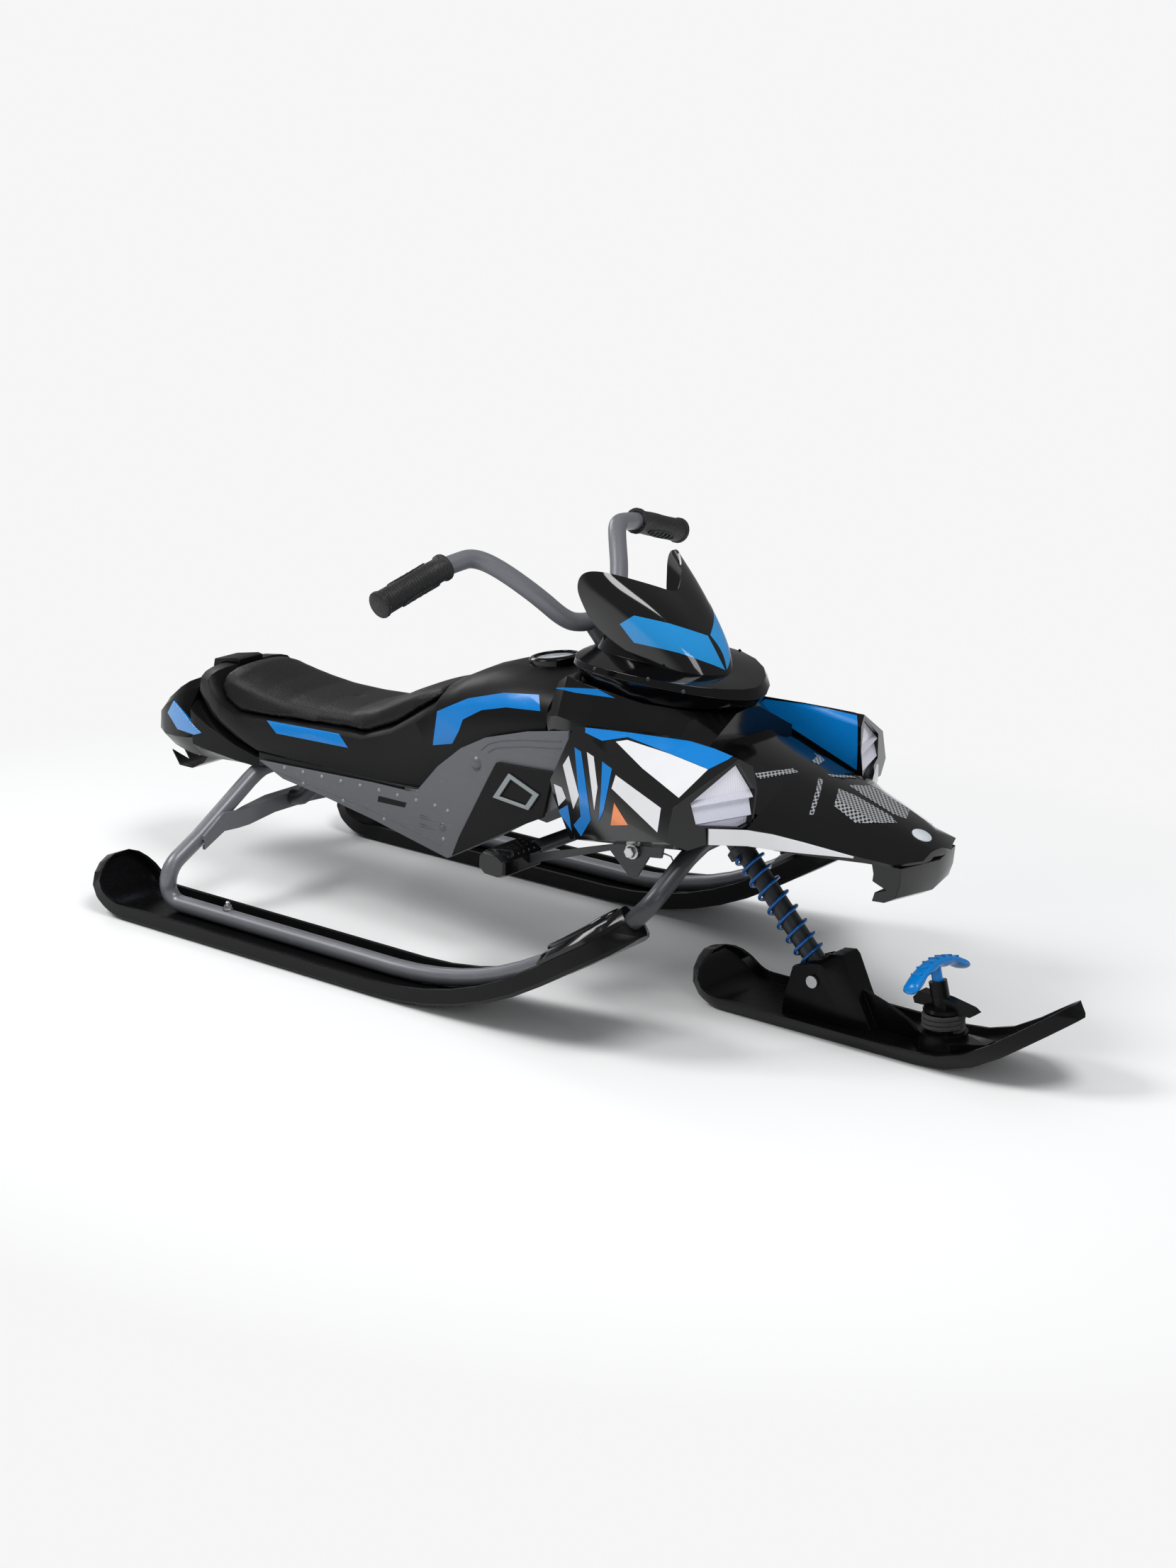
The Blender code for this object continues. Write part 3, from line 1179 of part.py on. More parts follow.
def bar_path():
    """Centre line of the handlebar, from the left grip's end over the stem to the right one's."""
    x, z = BAR_MIDDLE
    corners = [
        GRIP_END, GRIP_START, (-0.1080, 0.1400, 0.4625), (-0.1030, 0.1120, 0.4640), (-0.0610, 0.0740, 0.4225),
        (x, 0.0220, z), (x, 0, z),
    ]
    return mirror_path(bent(corners, BAR_BEND_R))


def build_steering():
    """Sleeve, handlebar, grips and spring collar turn on the steering axis."""
    low = SPRING_LENGTH + GAP
    inner = FORK_R + RUNNING_GAP
    span = STEM_TOP - low
    room = FORK_OVERLAP + SPRING_TRAVEL + 0.004
    profile = [
        (inner, 0), (COLLAR_R, 0), (COLLAR_R, COLLAR_THICK), (SLEEVE_R, COLLAR_THICK + 0.002), (SLEEVE_R, span),
        (0, span), (0, room + 0.012), (inner, room),
    ]
    stem = add_piece("steering_stem", turned(profile, on_axis(low), AXIS_UP, 20), "tube_dark", AXIS_FOOT)
    boolean(stem, tube_mesh(bar_path(), TUBE_R + GAP))
    add_tube("handlebar", bar_path(), TUBE_R, "tube_grey", AXIS_FOOT)

    axis = (GRIP_END - GRIP_START).normalized()
    length = (GRIP_END - GRIP_START).length
    bore = TUBE_R + GAP
    grip = [
        (bore, 0), (GRIP_FLANGE_R, 0), (GRIP_FLANGE_R, 0.0040), (GRIP_R - 0.0008, 0.0060), (GRIP_R, 0.030),
        (GRIP_R - 0.0004, 0.060), (GRIP_R, length - 0.004), (GRIP_FLANGE_R, length - 0.003),
        (GRIP_FLANGE_R, length + 0.001), (GRIP_R - 0.0020, length + 0.003), (0, length + 0.003), (0, length + GAP),
        (bore, length + GAP),
    ]
    for side, hand in SIDES:
        add_piece("grip_" + side, for_side(turned(grip, GRIP_START, axis, 20), hand), "grip_rubber", AXIS_FOOT)


def build_fork():
    """The lower fork slides in the sleeve against the coil spring."""
    foot = (AXIS_FOOT - PIVOT).dot(AXIS_UP)
    top = foot + SPRING_LENGTH + FORK_OVERLAP
    profile = [
        (0, 0), (FORK_R, 0), (FORK_R, foot - SPRING_SEAT_THICK), (SPRING_SEAT_R, foot - SPRING_SEAT_THICK),
        (SPRING_SEAT_R, foot), (FORK_R, foot), (FORK_R, top), (0, top),
    ]
    fork = add_piece("fork_tube", turned(profile, PIVOT, AXIS_UP, 16), "tube_dark", PIVOT)
    half = KNUCKLE_HALF
    boolean(fork, turned([(0, -half), (KNUCKLE_R, -half), (KNUCKLE_R, half), (0, half)], PIVOT, ACROSS, 16), "UNION")
    cut_round(fork, PIVOT, ACROSS, PIVOT_BOLT_R + GAP, (-0.03, 0.03), 12)
    add_piece("coil_spring", tube_mesh(spring_path(), SPRING_WIRE_R, 1), "spring_blue", AXIS_FOOT)


def spring_path():
    """The coil spring's helix, with closer turns at both ends."""
    total = round(SPRING_CURLS * POINTS_PER_CURL)
    low = SPRING_WIRE_R + GAP
    high = SPRING_LENGTH - SPRING_WIRE_R - GAP
    path = []
    for i in range(total + 1):
        share = i / total
        rise = low + (high - low) * min(1.0, max(0.0, share - CLOSED_TURNS * sin(2 * pi * share)))
        angle = 2 * pi * i / POINTS_PER_CURL
        path.append(on_axis(rise) + (ACROSS * cos(angle) - AXIS_OUT * sin(angle)) * SPRING_MEAN_R)
    return path


def build_front_ski():
    add_piece("front_ski", ski_mesh(FRONT_SOLE, FRONT_HALF, FRONT_WALL_TOP, FRONT_FLARE), "ski_black", PIVOT)
    tower = add_piece("ski_tower", tower_mesh(), "ski_black", PIVOT)
    boolean(tower, web_mesh(), "UNION")
    boolean(tower, slot_mesh())
    cut_round(tower, PIVOT, ACROSS, PIVOT_BOLT_R + GAP, (-0.05, 0.05), 12)
    inner = TOWER_HALF + GAP
    outer = inner + 0.0032
    bolt = [
        (0, -outer), (PIVOT_HEAD_R, -outer), (PIVOT_HEAD_R, -inner), (PIVOT_BOLT_R, -inner), (PIVOT_BOLT_R, inner),
        (PIVOT_HEAD_R, inner), (PIVOT_HEAD_R, outer), (0, outer),
    ]
    add_piece("pivot_bolt", turned(bolt, PIVOT, ACROSS, 12), "zinc", PIVOT)


def tower_mesh():
    """The moulded tower on the front ski: two cheeks that hold the fork and a taller column ahead of them."""
    base = SKI_FLOOR + GAP
    cheek = [
        (0.2313, base), (0.2340, 0.0288), (0.2440, 0.0620), (0.2660, 0.0700), (0.2780, 0.0715), (0.2860, 0.0680),
        (0.2920, 0.0600), (0.2980, 0.0440), (0.3050, 0.0240), (0.3090, base),
    ]
    column = [
        (0.2313, base), (0.2340, 0.0288), (0.2440, 0.0635), (0.2660, 0.0735), (0.2844, 0.0816), (0.2985, 0.0835),
        (0.3030, 0.0790), (0.3180, 0.0459), (0.3290, 0.0240), (0.3360, base),
    ]
    rings = []
    for side, y in ((cheek, -TOWER_HALF), (column, -COLUMN_HALF), (column, COLUMN_HALF), (cheek, TOWER_HALF)):
        rings.append([Vector((x, y, z)) for x, z in side])
    return loft(rings)


def web_mesh():
    """The thin web that runs down from the tower's column toward the rope drum."""
    end = DRUM_X - DRUM_FOOT_R - 2 * GAP
    base = SKI_FLOOR + GAP
    outline = [(0.2950, base), (0.2950, 0.0600), (0.3052, 0.0512), (0.3442, 0.0395), (0.3718, 0.0284), (end, 0.0180), (end, base)]
    return plate(outline, -WEB_HALF, WEB_HALF)


def slot_mesh():
    """The room between the cheeks in which the fork's end and the spring seat swing about the bolt."""
    reach = SLOT_FRONT_X - PIVOT.x
    low, high = PIVOT.z - 0.0094, 0.1000
    arc = []
    for angle in range(0, -226, -25):
        x, z = PIVOT.x + reach * cos(radians(angle)), PIVOT.z + reach * sin(radians(angle))
        if x > PIVOT.x or z < low:
            arc.append((x, z))
    rear = 0.2200
    outline = [(SLOT_FRONT_X, high), *arc, (PIVOT.x - sqrt(reach ** 2 - (PIVOT.z - low) ** 2), low), (rear, low), (rear, high)]
    return plate(outline, -SLOT_HALF, SLOT_HALF)


def build_tow_gear():
    """The cleat post on the front ski, the rope wound on its drum and the T-handle in its top."""
    low, high = DRUM_SPAN
    base = SKI_FLOOR + GAP
    flange = DRUM_R + 2 * ROPE_R + 0.0035
    profile = [
        (0, base - 0.002), (DRUM_FOOT_R, base - 0.002), (DRUM_FOOT_R - 0.001, base + 0.004), (flange, low - 0.005), (flange, low),
        (DRUM_R, low), (DRUM_R, high), (flange - 0.004, high), (flange - 0.006, high + 0.003), (0, high + 0.003),
    ]
    post = add_piece("cleat_post", turned(profile, Vector((DRUM_X, 0, 0)), UP, 24), "ski_black", PIVOT)
    spindle = [(0, 0), (POST_R + 0.002, 0), (POST_R, 0.014), (POST_R, POST_LENGTH), (0, POST_LENGTH)]
    boolean(post, turned(spindle, POST_FOOT, POST_UP, 20), "UNION")
    horns = [
        (-0.0330, 0.0560), (-0.0310, 0.0500), (-0.0080, 0.0505), (0.0080, 0.0505), (0.0340, 0.0490),
        (0.0400, 0.0530), (0.0340, 0.0570), (0.0075, 0.0620), (-0.0075, 0.0630), (-0.0260, 0.0640),
    ]
    boolean(post, plate([(DRUM_X + x, z) for x, z in horns], -HORN_HALF, HORN_HALF), "UNION")
    cut_round(post, POST_FOOT, POST_UP, SOCKET_R, (POST_LENGTH - SOCKET_DEPTH, POST_LENGTH + 0.010), 16)
    boolean(post, tongue_mesh(), "UNION")
    boolean(post, floor_mesh())
    path = rope_path()
    for end in (path[:POINTS_PER_LOOP // 2], path[-POINTS_PER_LOOP // 2:]):
        boolean(post, tube_mesh(lengthened(end), ROPE_R + GAP, 1))
    add_piece("tow_rope", tube_mesh(path, ROPE_R, 1), "rope_black", PIVOT)
    print("tow rope: length %.0f mm, least gap to itself %.2f mm" % rope_figures(path))

    stem_r = SOCKET_R - RUNNING_GAP
    foot = POST_LENGTH - SOCKET_DEPTH + GAP
    stem = [(0, foot), (stem_r, foot), (stem_r, HANDLE_CROWN), (0, HANDLE_CROWN)]
    handle = add_piece("tow_handle", handle_mesh(), "blue", POST_FOOT)
    boolean(handle, turned(stem, POST_FOOT, POST_UP, 12), "UNION")


def tongue_mesh():
    """The tongue of the drum's foot that runs up the curving floor ahead of it."""
    ends = (
        # x, half width, low z, high z
        (DRUM_X + 0.010, 0.0200, 0.0100, 0.0200),
        (DRUM_X + 0.024, 0.0180, 0.0100, 0.0210),
        (DRUM_X + 0.056, 0.0080, 0.0160, 0.0260),
    )
    return hull([(x, side * half, z) for x, half, *levels in ends for z in levels for side in (-1, 1)])


def floor_mesh():
    """The ski under its floor line, which curves up ahead of the post: it trims the post's foot."""
    start, end = FRONT_SOLE.s_of_x(0.370), FRONT_SOLE.s_of_x(0.495)
    floor = [FRONT_SOLE.point(start + (end - start) * i / 8, 0.0, SKI_FLOOR + GAP) for i in range(9)]
    outline = [(p.x, p.z) for p in floor] + [(floor[-1].x, -0.005), (floor[0].x, -0.005)]
    return plate(outline, -0.040, 0.040)


def lengthened(points):
    """A stretch of the rope's path whose outer ends run on, for the hole that takes the rope's end."""
    path = list(points)
    middle = Vector((DRUM_X, 0.0, 0.0))
    flat = [(p - middle).xy.length for p in (path[0], path[-1])]
    if flat[0] < flat[1]:
        path[0] = path[0] + (path[0] - path[1]).normalized() * GAP
        return path
    path[-1] = path[-1] + (path[-1] - path[-2]).normalized() * GAP
    return path


def rope_path():
    """The rope's outer winding: a close helix on the drum whose ends turn in and run straight into it."""
    radius = DRUM_R + GAP + ROPE_R
    low = DRUM_SPAN[0] + ROPE_R + 2 * GAP
    total = round(ROPE_TURNS * POINTS_PER_LOOP)
    middle = Vector((DRUM_X, 0.0, 0.0))

    def place(turn, distance, aside, height):
        angle = 2 * pi * turn
        out = Vector((cos(angle), sin(angle), 0.0))
        along = Vector((-sin(angle), cos(angle), 0.0))
        return middle + out * distance + along * aside + UP * height

    path = []
    for i in range(total + 1):
        turn = i / POINTS_PER_LOOP
        path.append(place(turn, radius, 0.0, low + ROPE_PITCH * turn))
    bend = [radians(angle) for angle in (22.5, 45, 67.5, 90)]
    straight = radius - ROPE_BEND_R - 2 * ROPE_R
    head = [place(0, straight, -ROPE_BEND_R, low)]
    head += [place(0, radius - ROPE_BEND_R * (1 - cos(a)), -ROPE_BEND_R * sin(a), low) for a in reversed(bend)]
    last = ROPE_TURNS
    top = low + ROPE_PITCH * last
    tail = [place(last, radius - ROPE_BEND_R * (1 - cos(a)), ROPE_BEND_R * sin(a), top) for a in bend]
    tail += [place(last, straight, ROPE_BEND_R, top)]
    return head + path + tail


def rope_figures(path):
    """The rope's length and the least gap between stretches half a loop or more apart, in millimetres."""
    runs = [0.0]
    for a, b in zip(path, path[1:]):
        runs.append(runs[-1] + (b - a).length)
    apart = pi * DRUM_R
    least = min(
        (path[i] - path[j]).length - 2 * ROPE_R
        for i in range(len(path))
        for j in range(i + 1, len(path))
        if runs[j] - runs[i] > apart
    )
    return 1000 * runs[-1], 1000 * least


def handle_mesh():
    """The T-handle's grip: an arched bar with finger grooves underneath, square to the leaning post."""
    ahead = Vector((POST_UP.z, 0.0, -POST_UP.x))
    rings = []
    count = 14
    for i in range(count + 1):
        share = -1 + 2 * i / count
        crown = HANDLE_CROWN + 0.0010 - 0.0165 * share * share
        groove = 0.0010 * cos(share * pi * 4)
        end = 0.55 if abs(share) == 1 else 1.0
        half, thick = 0.0090 * end, 0.0050 * end
        section = (
            (-half, 0.0), (-half * 0.6, thick), (half * 0.6, thick), (half, 0.0),
            (half * 0.5, groove - thick), (-half * 0.5, groove - thick),
        )
        centre = POST_FOOT + ACROSS * (HANDLE_HALF * share)
        rings.append([centre + ahead * u + POST_UP * (crown + v) for u, v in section])
    return loft(rings)


def main():
    clear_scene()
    build_frame()
    build_rear_skis()
    build_lever()
    build_seat()
    build_tail()
    build_panels()
    build_cowl()
    build_steering()
    build_fork()
    build_front_ski()
    build_tow_gear()
    for thing in bpy.data.objects:
        thing.location.x += PLAN_SHIFT


main()
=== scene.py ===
"""Looks of the snow trike: finishes, fittings, cushion, rope, spring, graphics, light and camera.

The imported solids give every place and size. Rigid pieces get rounded edges and their own finish, soft and
wound pieces are built anew in their solids' places, and small fittings are laid on the surfaces.
"""

import json
import logging
from abc import ABC, abstractmethod
from collections.abc import Callable, Sequence
from dataclasses import dataclass, field
from enum import Enum
from functools import cached_property
from math import cos, pi, radians, sin

import bmesh
import bpy
from bmesh.types import BMesh
from mathutils import Matrix, Vector
from mathutils.bvhtree import BVHTree
from mathutils.geometry import tessellate_polygon

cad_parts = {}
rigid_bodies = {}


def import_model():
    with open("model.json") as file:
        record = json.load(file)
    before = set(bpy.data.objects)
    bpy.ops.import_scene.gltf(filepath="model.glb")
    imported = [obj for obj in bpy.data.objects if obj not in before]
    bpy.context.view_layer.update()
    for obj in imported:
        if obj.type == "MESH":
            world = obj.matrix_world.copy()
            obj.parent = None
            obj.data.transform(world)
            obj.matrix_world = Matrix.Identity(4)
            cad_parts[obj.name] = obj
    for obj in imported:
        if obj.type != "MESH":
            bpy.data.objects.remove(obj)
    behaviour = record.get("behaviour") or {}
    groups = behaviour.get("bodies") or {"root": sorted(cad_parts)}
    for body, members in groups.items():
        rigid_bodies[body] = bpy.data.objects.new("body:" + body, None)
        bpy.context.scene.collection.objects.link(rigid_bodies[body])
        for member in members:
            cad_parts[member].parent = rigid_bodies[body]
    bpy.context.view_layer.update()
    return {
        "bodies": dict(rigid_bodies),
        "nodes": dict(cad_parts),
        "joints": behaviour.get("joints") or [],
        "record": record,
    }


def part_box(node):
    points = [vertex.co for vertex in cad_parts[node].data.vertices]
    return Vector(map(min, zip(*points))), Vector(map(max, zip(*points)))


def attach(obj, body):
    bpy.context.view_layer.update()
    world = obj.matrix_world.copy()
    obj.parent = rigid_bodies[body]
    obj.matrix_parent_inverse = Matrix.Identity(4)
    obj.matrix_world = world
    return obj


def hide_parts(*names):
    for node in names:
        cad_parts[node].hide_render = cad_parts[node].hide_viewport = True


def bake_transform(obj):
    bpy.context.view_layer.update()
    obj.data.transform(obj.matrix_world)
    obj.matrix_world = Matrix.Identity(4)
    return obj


LOG = logging.getLogger("snow_trike")
PLAN_SHIFT = 0.0620               # from the drawing's origin to the frame's, along X
CAMERA_AZIMUTH = 39.2
CAMERA_ELEVATION = 16.4
BACKDROP = (0.925, 0.925, 0.925, 1.0)
UP = Vector((0.0, 0.0, 1.0))
WELD = 0.000005                   # corners of a turned solid nearer than this are one
BAR_ROUNDING = 0.32               # of a bar's smaller measure

Pair = tuple[float, float]
Triple = tuple[float, float, float]
Profile = Sequence[Pair]          # radius and height in millimetres
Corners = Sequence[Triple]        # drawing coordinates in millimetres


class Side(Enum):
    """The two sides of the sled, each with the sign of its Y."""

    LEFT = 1
    RIGHT = -1

    @property
    def hand(self) -> int:
        """The sign of Y on this side."""
        return self.value

    @property
    def out(self) -> Vector:
        """The direction away from the middle plane."""
        return Vector((0.0, self.value, 0.0))

    def of(self, name: str) -> str:
        """The name with the side's ending."""
        return f"{name}_{self.name.lower()}"


def plan(x: float, y: float, z: float) -> Vector:
    """A point of the drawing, given in millimetres, in the row frame."""
    return Vector((x / 1000 + PLAN_SHIFT, y / 1000, z / 1000))


def default(maker: Callable, *values: object) -> Vector:
    """A dataclass field that starts as the maker's result."""
    return field(default_factory=lambda: maker(*values))


def leaning(x: float, y: float, z: float) -> Vector:
    """A direction of length 1."""
    return Vector((x, y, z)).normalized()


def mirrored(point: Vector) -> Vector:
    """The point's match on the other side."""
    return Vector((point.x, -point.y, point.z))


def sight(side: Side) -> Vector:
    """The camera's line of sight, mirrored for the left side."""
    tilt, turn = radians(CAMERA_ELEVATION), radians(CAMERA_AZIMUTH)
    return Vector((-sin(turn) * cos(tilt), -side.hand * cos(turn) * cos(tilt), -sin(tilt)))


# Shader maths


def operator(operation: str, swapped: bool = False) -> Callable:
    """A method of Socket that adds one Math node.

    Args:
        operation: the node's operation.
        swapped: whether the other value comes first, as in the reflected forms.
    Returns:
        The method.
    """
    def method(self: "Socket", other: "Socket | float" = 0.0) -> "Socket":
        """This value and the other one, put through the node."""
        first, second = (other, self) if swapped else (self, other)
        return self.graph.value("ShaderNodeMath", 0, {"operation": operation}, {0: first, 1: second})

    return method


@dataclass(eq=False)
class Socket:
    """A shader value that plain arithmetic works on."""

    graph: "Graph"
    output: bpy.types.NodeSocket

    __add__, __radd__ = operator("ADD"), operator("ADD", True)
    __sub__, __rsub__ = operator("SUBTRACT"), operator("SUBTRACT", True)
    __mul__, __rmul__ = operator("MULTIPLY"), operator("MULTIPLY", True)
    __truediv__, __rtruediv__ = operator("DIVIDE"), operator("DIVIDE", True)
    at_least = operator("MAXIMUM")
    at_most = operator("MINIMUM")
    sine = operator("SINE")

    def clamp(self, low: float = 0.0, high: float = 1.0) -> "Socket":
        """The value, kept between two limits."""
        return self.at_least(low).at_most(high)


class Graph:
    """The node tree of one material or world, with one method that makes every node."""

    def __init__(self, owner: bpy.types.ID) -> None:
        """Starts with an empty tree.

        Args:
            owner: the material or world it belongs to.
        """
        owner.use_nodes = True
        self.owner = owner
        self.tree = owner.node_tree
        self.tree.nodes.clear()

    def value(
        self, kind: str, output: int | str, settings: dict | None = None, slots: dict | None = None,
        **named: object,
    ) -> Socket:
        """Makes a node, sets it up, feeds its inputs and gives one of its outputs.

        Args:
            kind: the node's type.
            output: which of its outputs is wanted.
            settings: attributes of the node itself.
            slots: values or sockets by the input's number.
            named: values or sockets by the input's name, with spaces written as underscores.
        Returns:
            The output, as a socket.
        """
        made = self.tree.nodes.new(kind)
        for key, value in (settings or {}).items():
            setattr(made, key, value)
        for key, value in {**(slots or {}), **named}.items():
            target = made.inputs[key.replace("_", " ") if isinstance(key, str) else key]
            if isinstance(value, Socket):
                self.tree.links.new(value.output, target)
            elif value is not None:
                target.default_value = value
        return Socket(self, made.outputs[output] if len(made.outputs) else None)

    @cached_property
    def coords(self) -> Socket:
        """The piece's own Object coordinates."""
        return self.value("ShaderNodeTexCoord", "Object")

    def place(self, stretch: Sequence[float] = (1.0, 1.0, 1.0)) -> Socket:
        """Object coordinates, stretched."""
        return self.value("ShaderNodeMapping", 0, Vector=self.coords, Scale=stretch)

    def axis(self, name: str, vector: Socket | None = None) -> Socket:
        """One coordinate of a vector, or of the place on the piece."""
        return self.value("ShaderNodeSeparateXYZ", name, Vector=vector or self.place())

    def noise(self, scale: float, detail: float = 4.0, stretch: Sequence[float] = (1.0, 1.0, 1.0)) -> Socket:
        """Cloudy noise from 0 to 1."""
        return self.value("ShaderNodeTexNoise", "Fac", Vector=self.place(stretch), Scale=scale, Detail=detail)

    def cells(self, scale: float) -> Socket:
        """The distance to the middle of the nearest cell."""
        return self.value("ShaderNodeTexVoronoi", "Distance", Vector=self.place(), Scale=scale)

    def blend(self, share: Socket | float, first: Sequence[float], second: Sequence[float]) -> Socket:
        """Mixes two colours.

        Args:
            share: the second colour's share.
            first: a colour or a socket.
            second: a colour or a socket.
        Returns:
            The mixed colour.
        """
        colours = {6: first, 7: second}
        slots = {n: c if isinstance(c, Socket) else (*c, 1.0) for n, c in colours.items()}
        return self.value("ShaderNodeMix", 2, {"data_type": "RGBA"}, {0: share, **slots})

    def bump(
        self, height: Socket, distance: float, strength: float = 1.0, under: Socket | None = None,
    ) -> Socket:
        """A normal raised by the height, over another normal where one is given."""
        inputs = {"Height": height, "Distance": distance, "Strength": strength, "Normal": under}
        return self.value("ShaderNodeBump", 0, **inputs)

    def surface(self, **inputs: object) -> Socket:
        """A Principled surface."""
        return self.value("ShaderNodeBsdfPrincipled", 0, **inputs)

    def mixed(self, share: Socket, first: Socket, second: Socket) -> Socket:
        """Two shaders, mixed by the share of the second."""
        return self.value("ShaderNodeMixShader", 0, slots={0: share, 1: first, 2: second})

    def close(self, shader: Socket, kind: str = "ShaderNodeOutputMaterial") -> bpy.types.ID:
        """Ends the tree with its output and gives what it belongs to."""
        self.value(kind, 0, slots={0: shader})
        return self.owner


# Finishes


@dataclass(frozen=True)
class Finish:
    """A surface: its linear colour, how it shines, its fine texture and how it wears.

    Grain is the texture's height in metres and grain_scale how fine it is; wear is how much of the
    surface is scuffed, and scuff the colour there.
    """

    colour: Triple
    rough: float
    metallic: float = 0.0
    coat: float = 0.0
    grain: float = 0.0
    grain_scale: float = 900.0
    wear: float = 0.04
    scuff: Triple = (0.30, 0.30, 0.31)
    specular: float = 0.5


BLUE = (0.0015, 0.182, 0.545)
FINISHES = {
    "tube_grey": Finish((0.17, 0.172, 0.19), 0.36, 0.25, 0.15, 4e-5, 1400, 0.05, (0.42, 0.43, 0.45)),
    "tube_dark": Finish((0.034, 0.036, 0.041), 0.38, 0.3, 0.1, 5e-5, 1300, 0.05, (0.2, 0.2, 0.21)),
    "ski_black": Finish((0.004, 0.004, 0.0045), 0.26, 0, 0, 6e-5, 700, 0.06, (0.03, 0.03, 0.032), 0.14),
    "shoe_gloss": Finish((0.0028, 0.0028, 0.0032), 0.12, 0, 0.12, 3e-5, 500, 0.03, (0.03, 0.03, 0.03), 0.4),
    "body_black": Finish((0.0042, 0.0042, 0.0046), 0.38, 0, 0, 6e-5, 1100, 0.03, (0.022, 0.022, 0.024), 0.16),
    "satin_black": Finish((0.003, 0.003, 0.0034), 0.11, 0, 0.08, 2e-5, 900, 0.02, (0.02, 0.02, 0.022), 0.4),
    "gloss_black": Finish(
        (0.0022, 0.0022, 0.0027), 0.08, 0, 0.1, 2e-5, 300, 0.02, (0.016, 0.016, 0.018), 0.36,
    ),
    "tail_black": Finish((0.003, 0.003, 0.0034), 0.24, 0, 0, 3e-5, 900, 0.02, (0.018, 0.018, 0.02), 0.12),
    "panel_grey": Finish((0.105, 0.11, 0.122), 0.4, 0.1, 0.1, 9e-5, 1000, 0.06, (0.3, 0.31, 0.32)),
    "trim_grey": Finish((0.25, 0.275, 0.28), 0.36, 0.25, 0.2, 3e-5, 900, 0.03),
    "blue": Finish(BLUE, 0.26, 0, 0.1, 3e-5, 700, 0.03, (0.06, 0.34, 0.7), 0.3),
    "screen_blue": Finish((0.01, 0.25, 0.6), 0.1, 0, 0.4, 2e-5, 300, 0.02, (0.1, 0.42, 0.75)),
    "spring_blue": Finish((0.004, 0.11, 0.39), 0.28, 0.2, 0.3, 2e-5, 900, 0.06, (0.05, 0.2, 0.45)),
    "white": Finish((0.7, 0.7, 0.715), 0.3, 0, 0.1, 3e-5, 700, 0.03, (0.58, 0.58, 0.6), 0.35),
    "orange": Finish((0.78, 0.22, 0.06), 0.3, 0, 0.3, 3e-5, 700, 0.03, (0.6, 0.25, 0.12)),
    "zinc": Finish((0.56, 0.56, 0.57), 0.28, 0.95, 0, 4e-5, 600, 0.1, (0.35, 0.35, 0.35)),
    "plate_dark": Finish((0.045, 0.047, 0.05), 0.38, 0.5, 0.1, 6e-5, 900, 0.07, (0.16, 0.16, 0.17)),
}


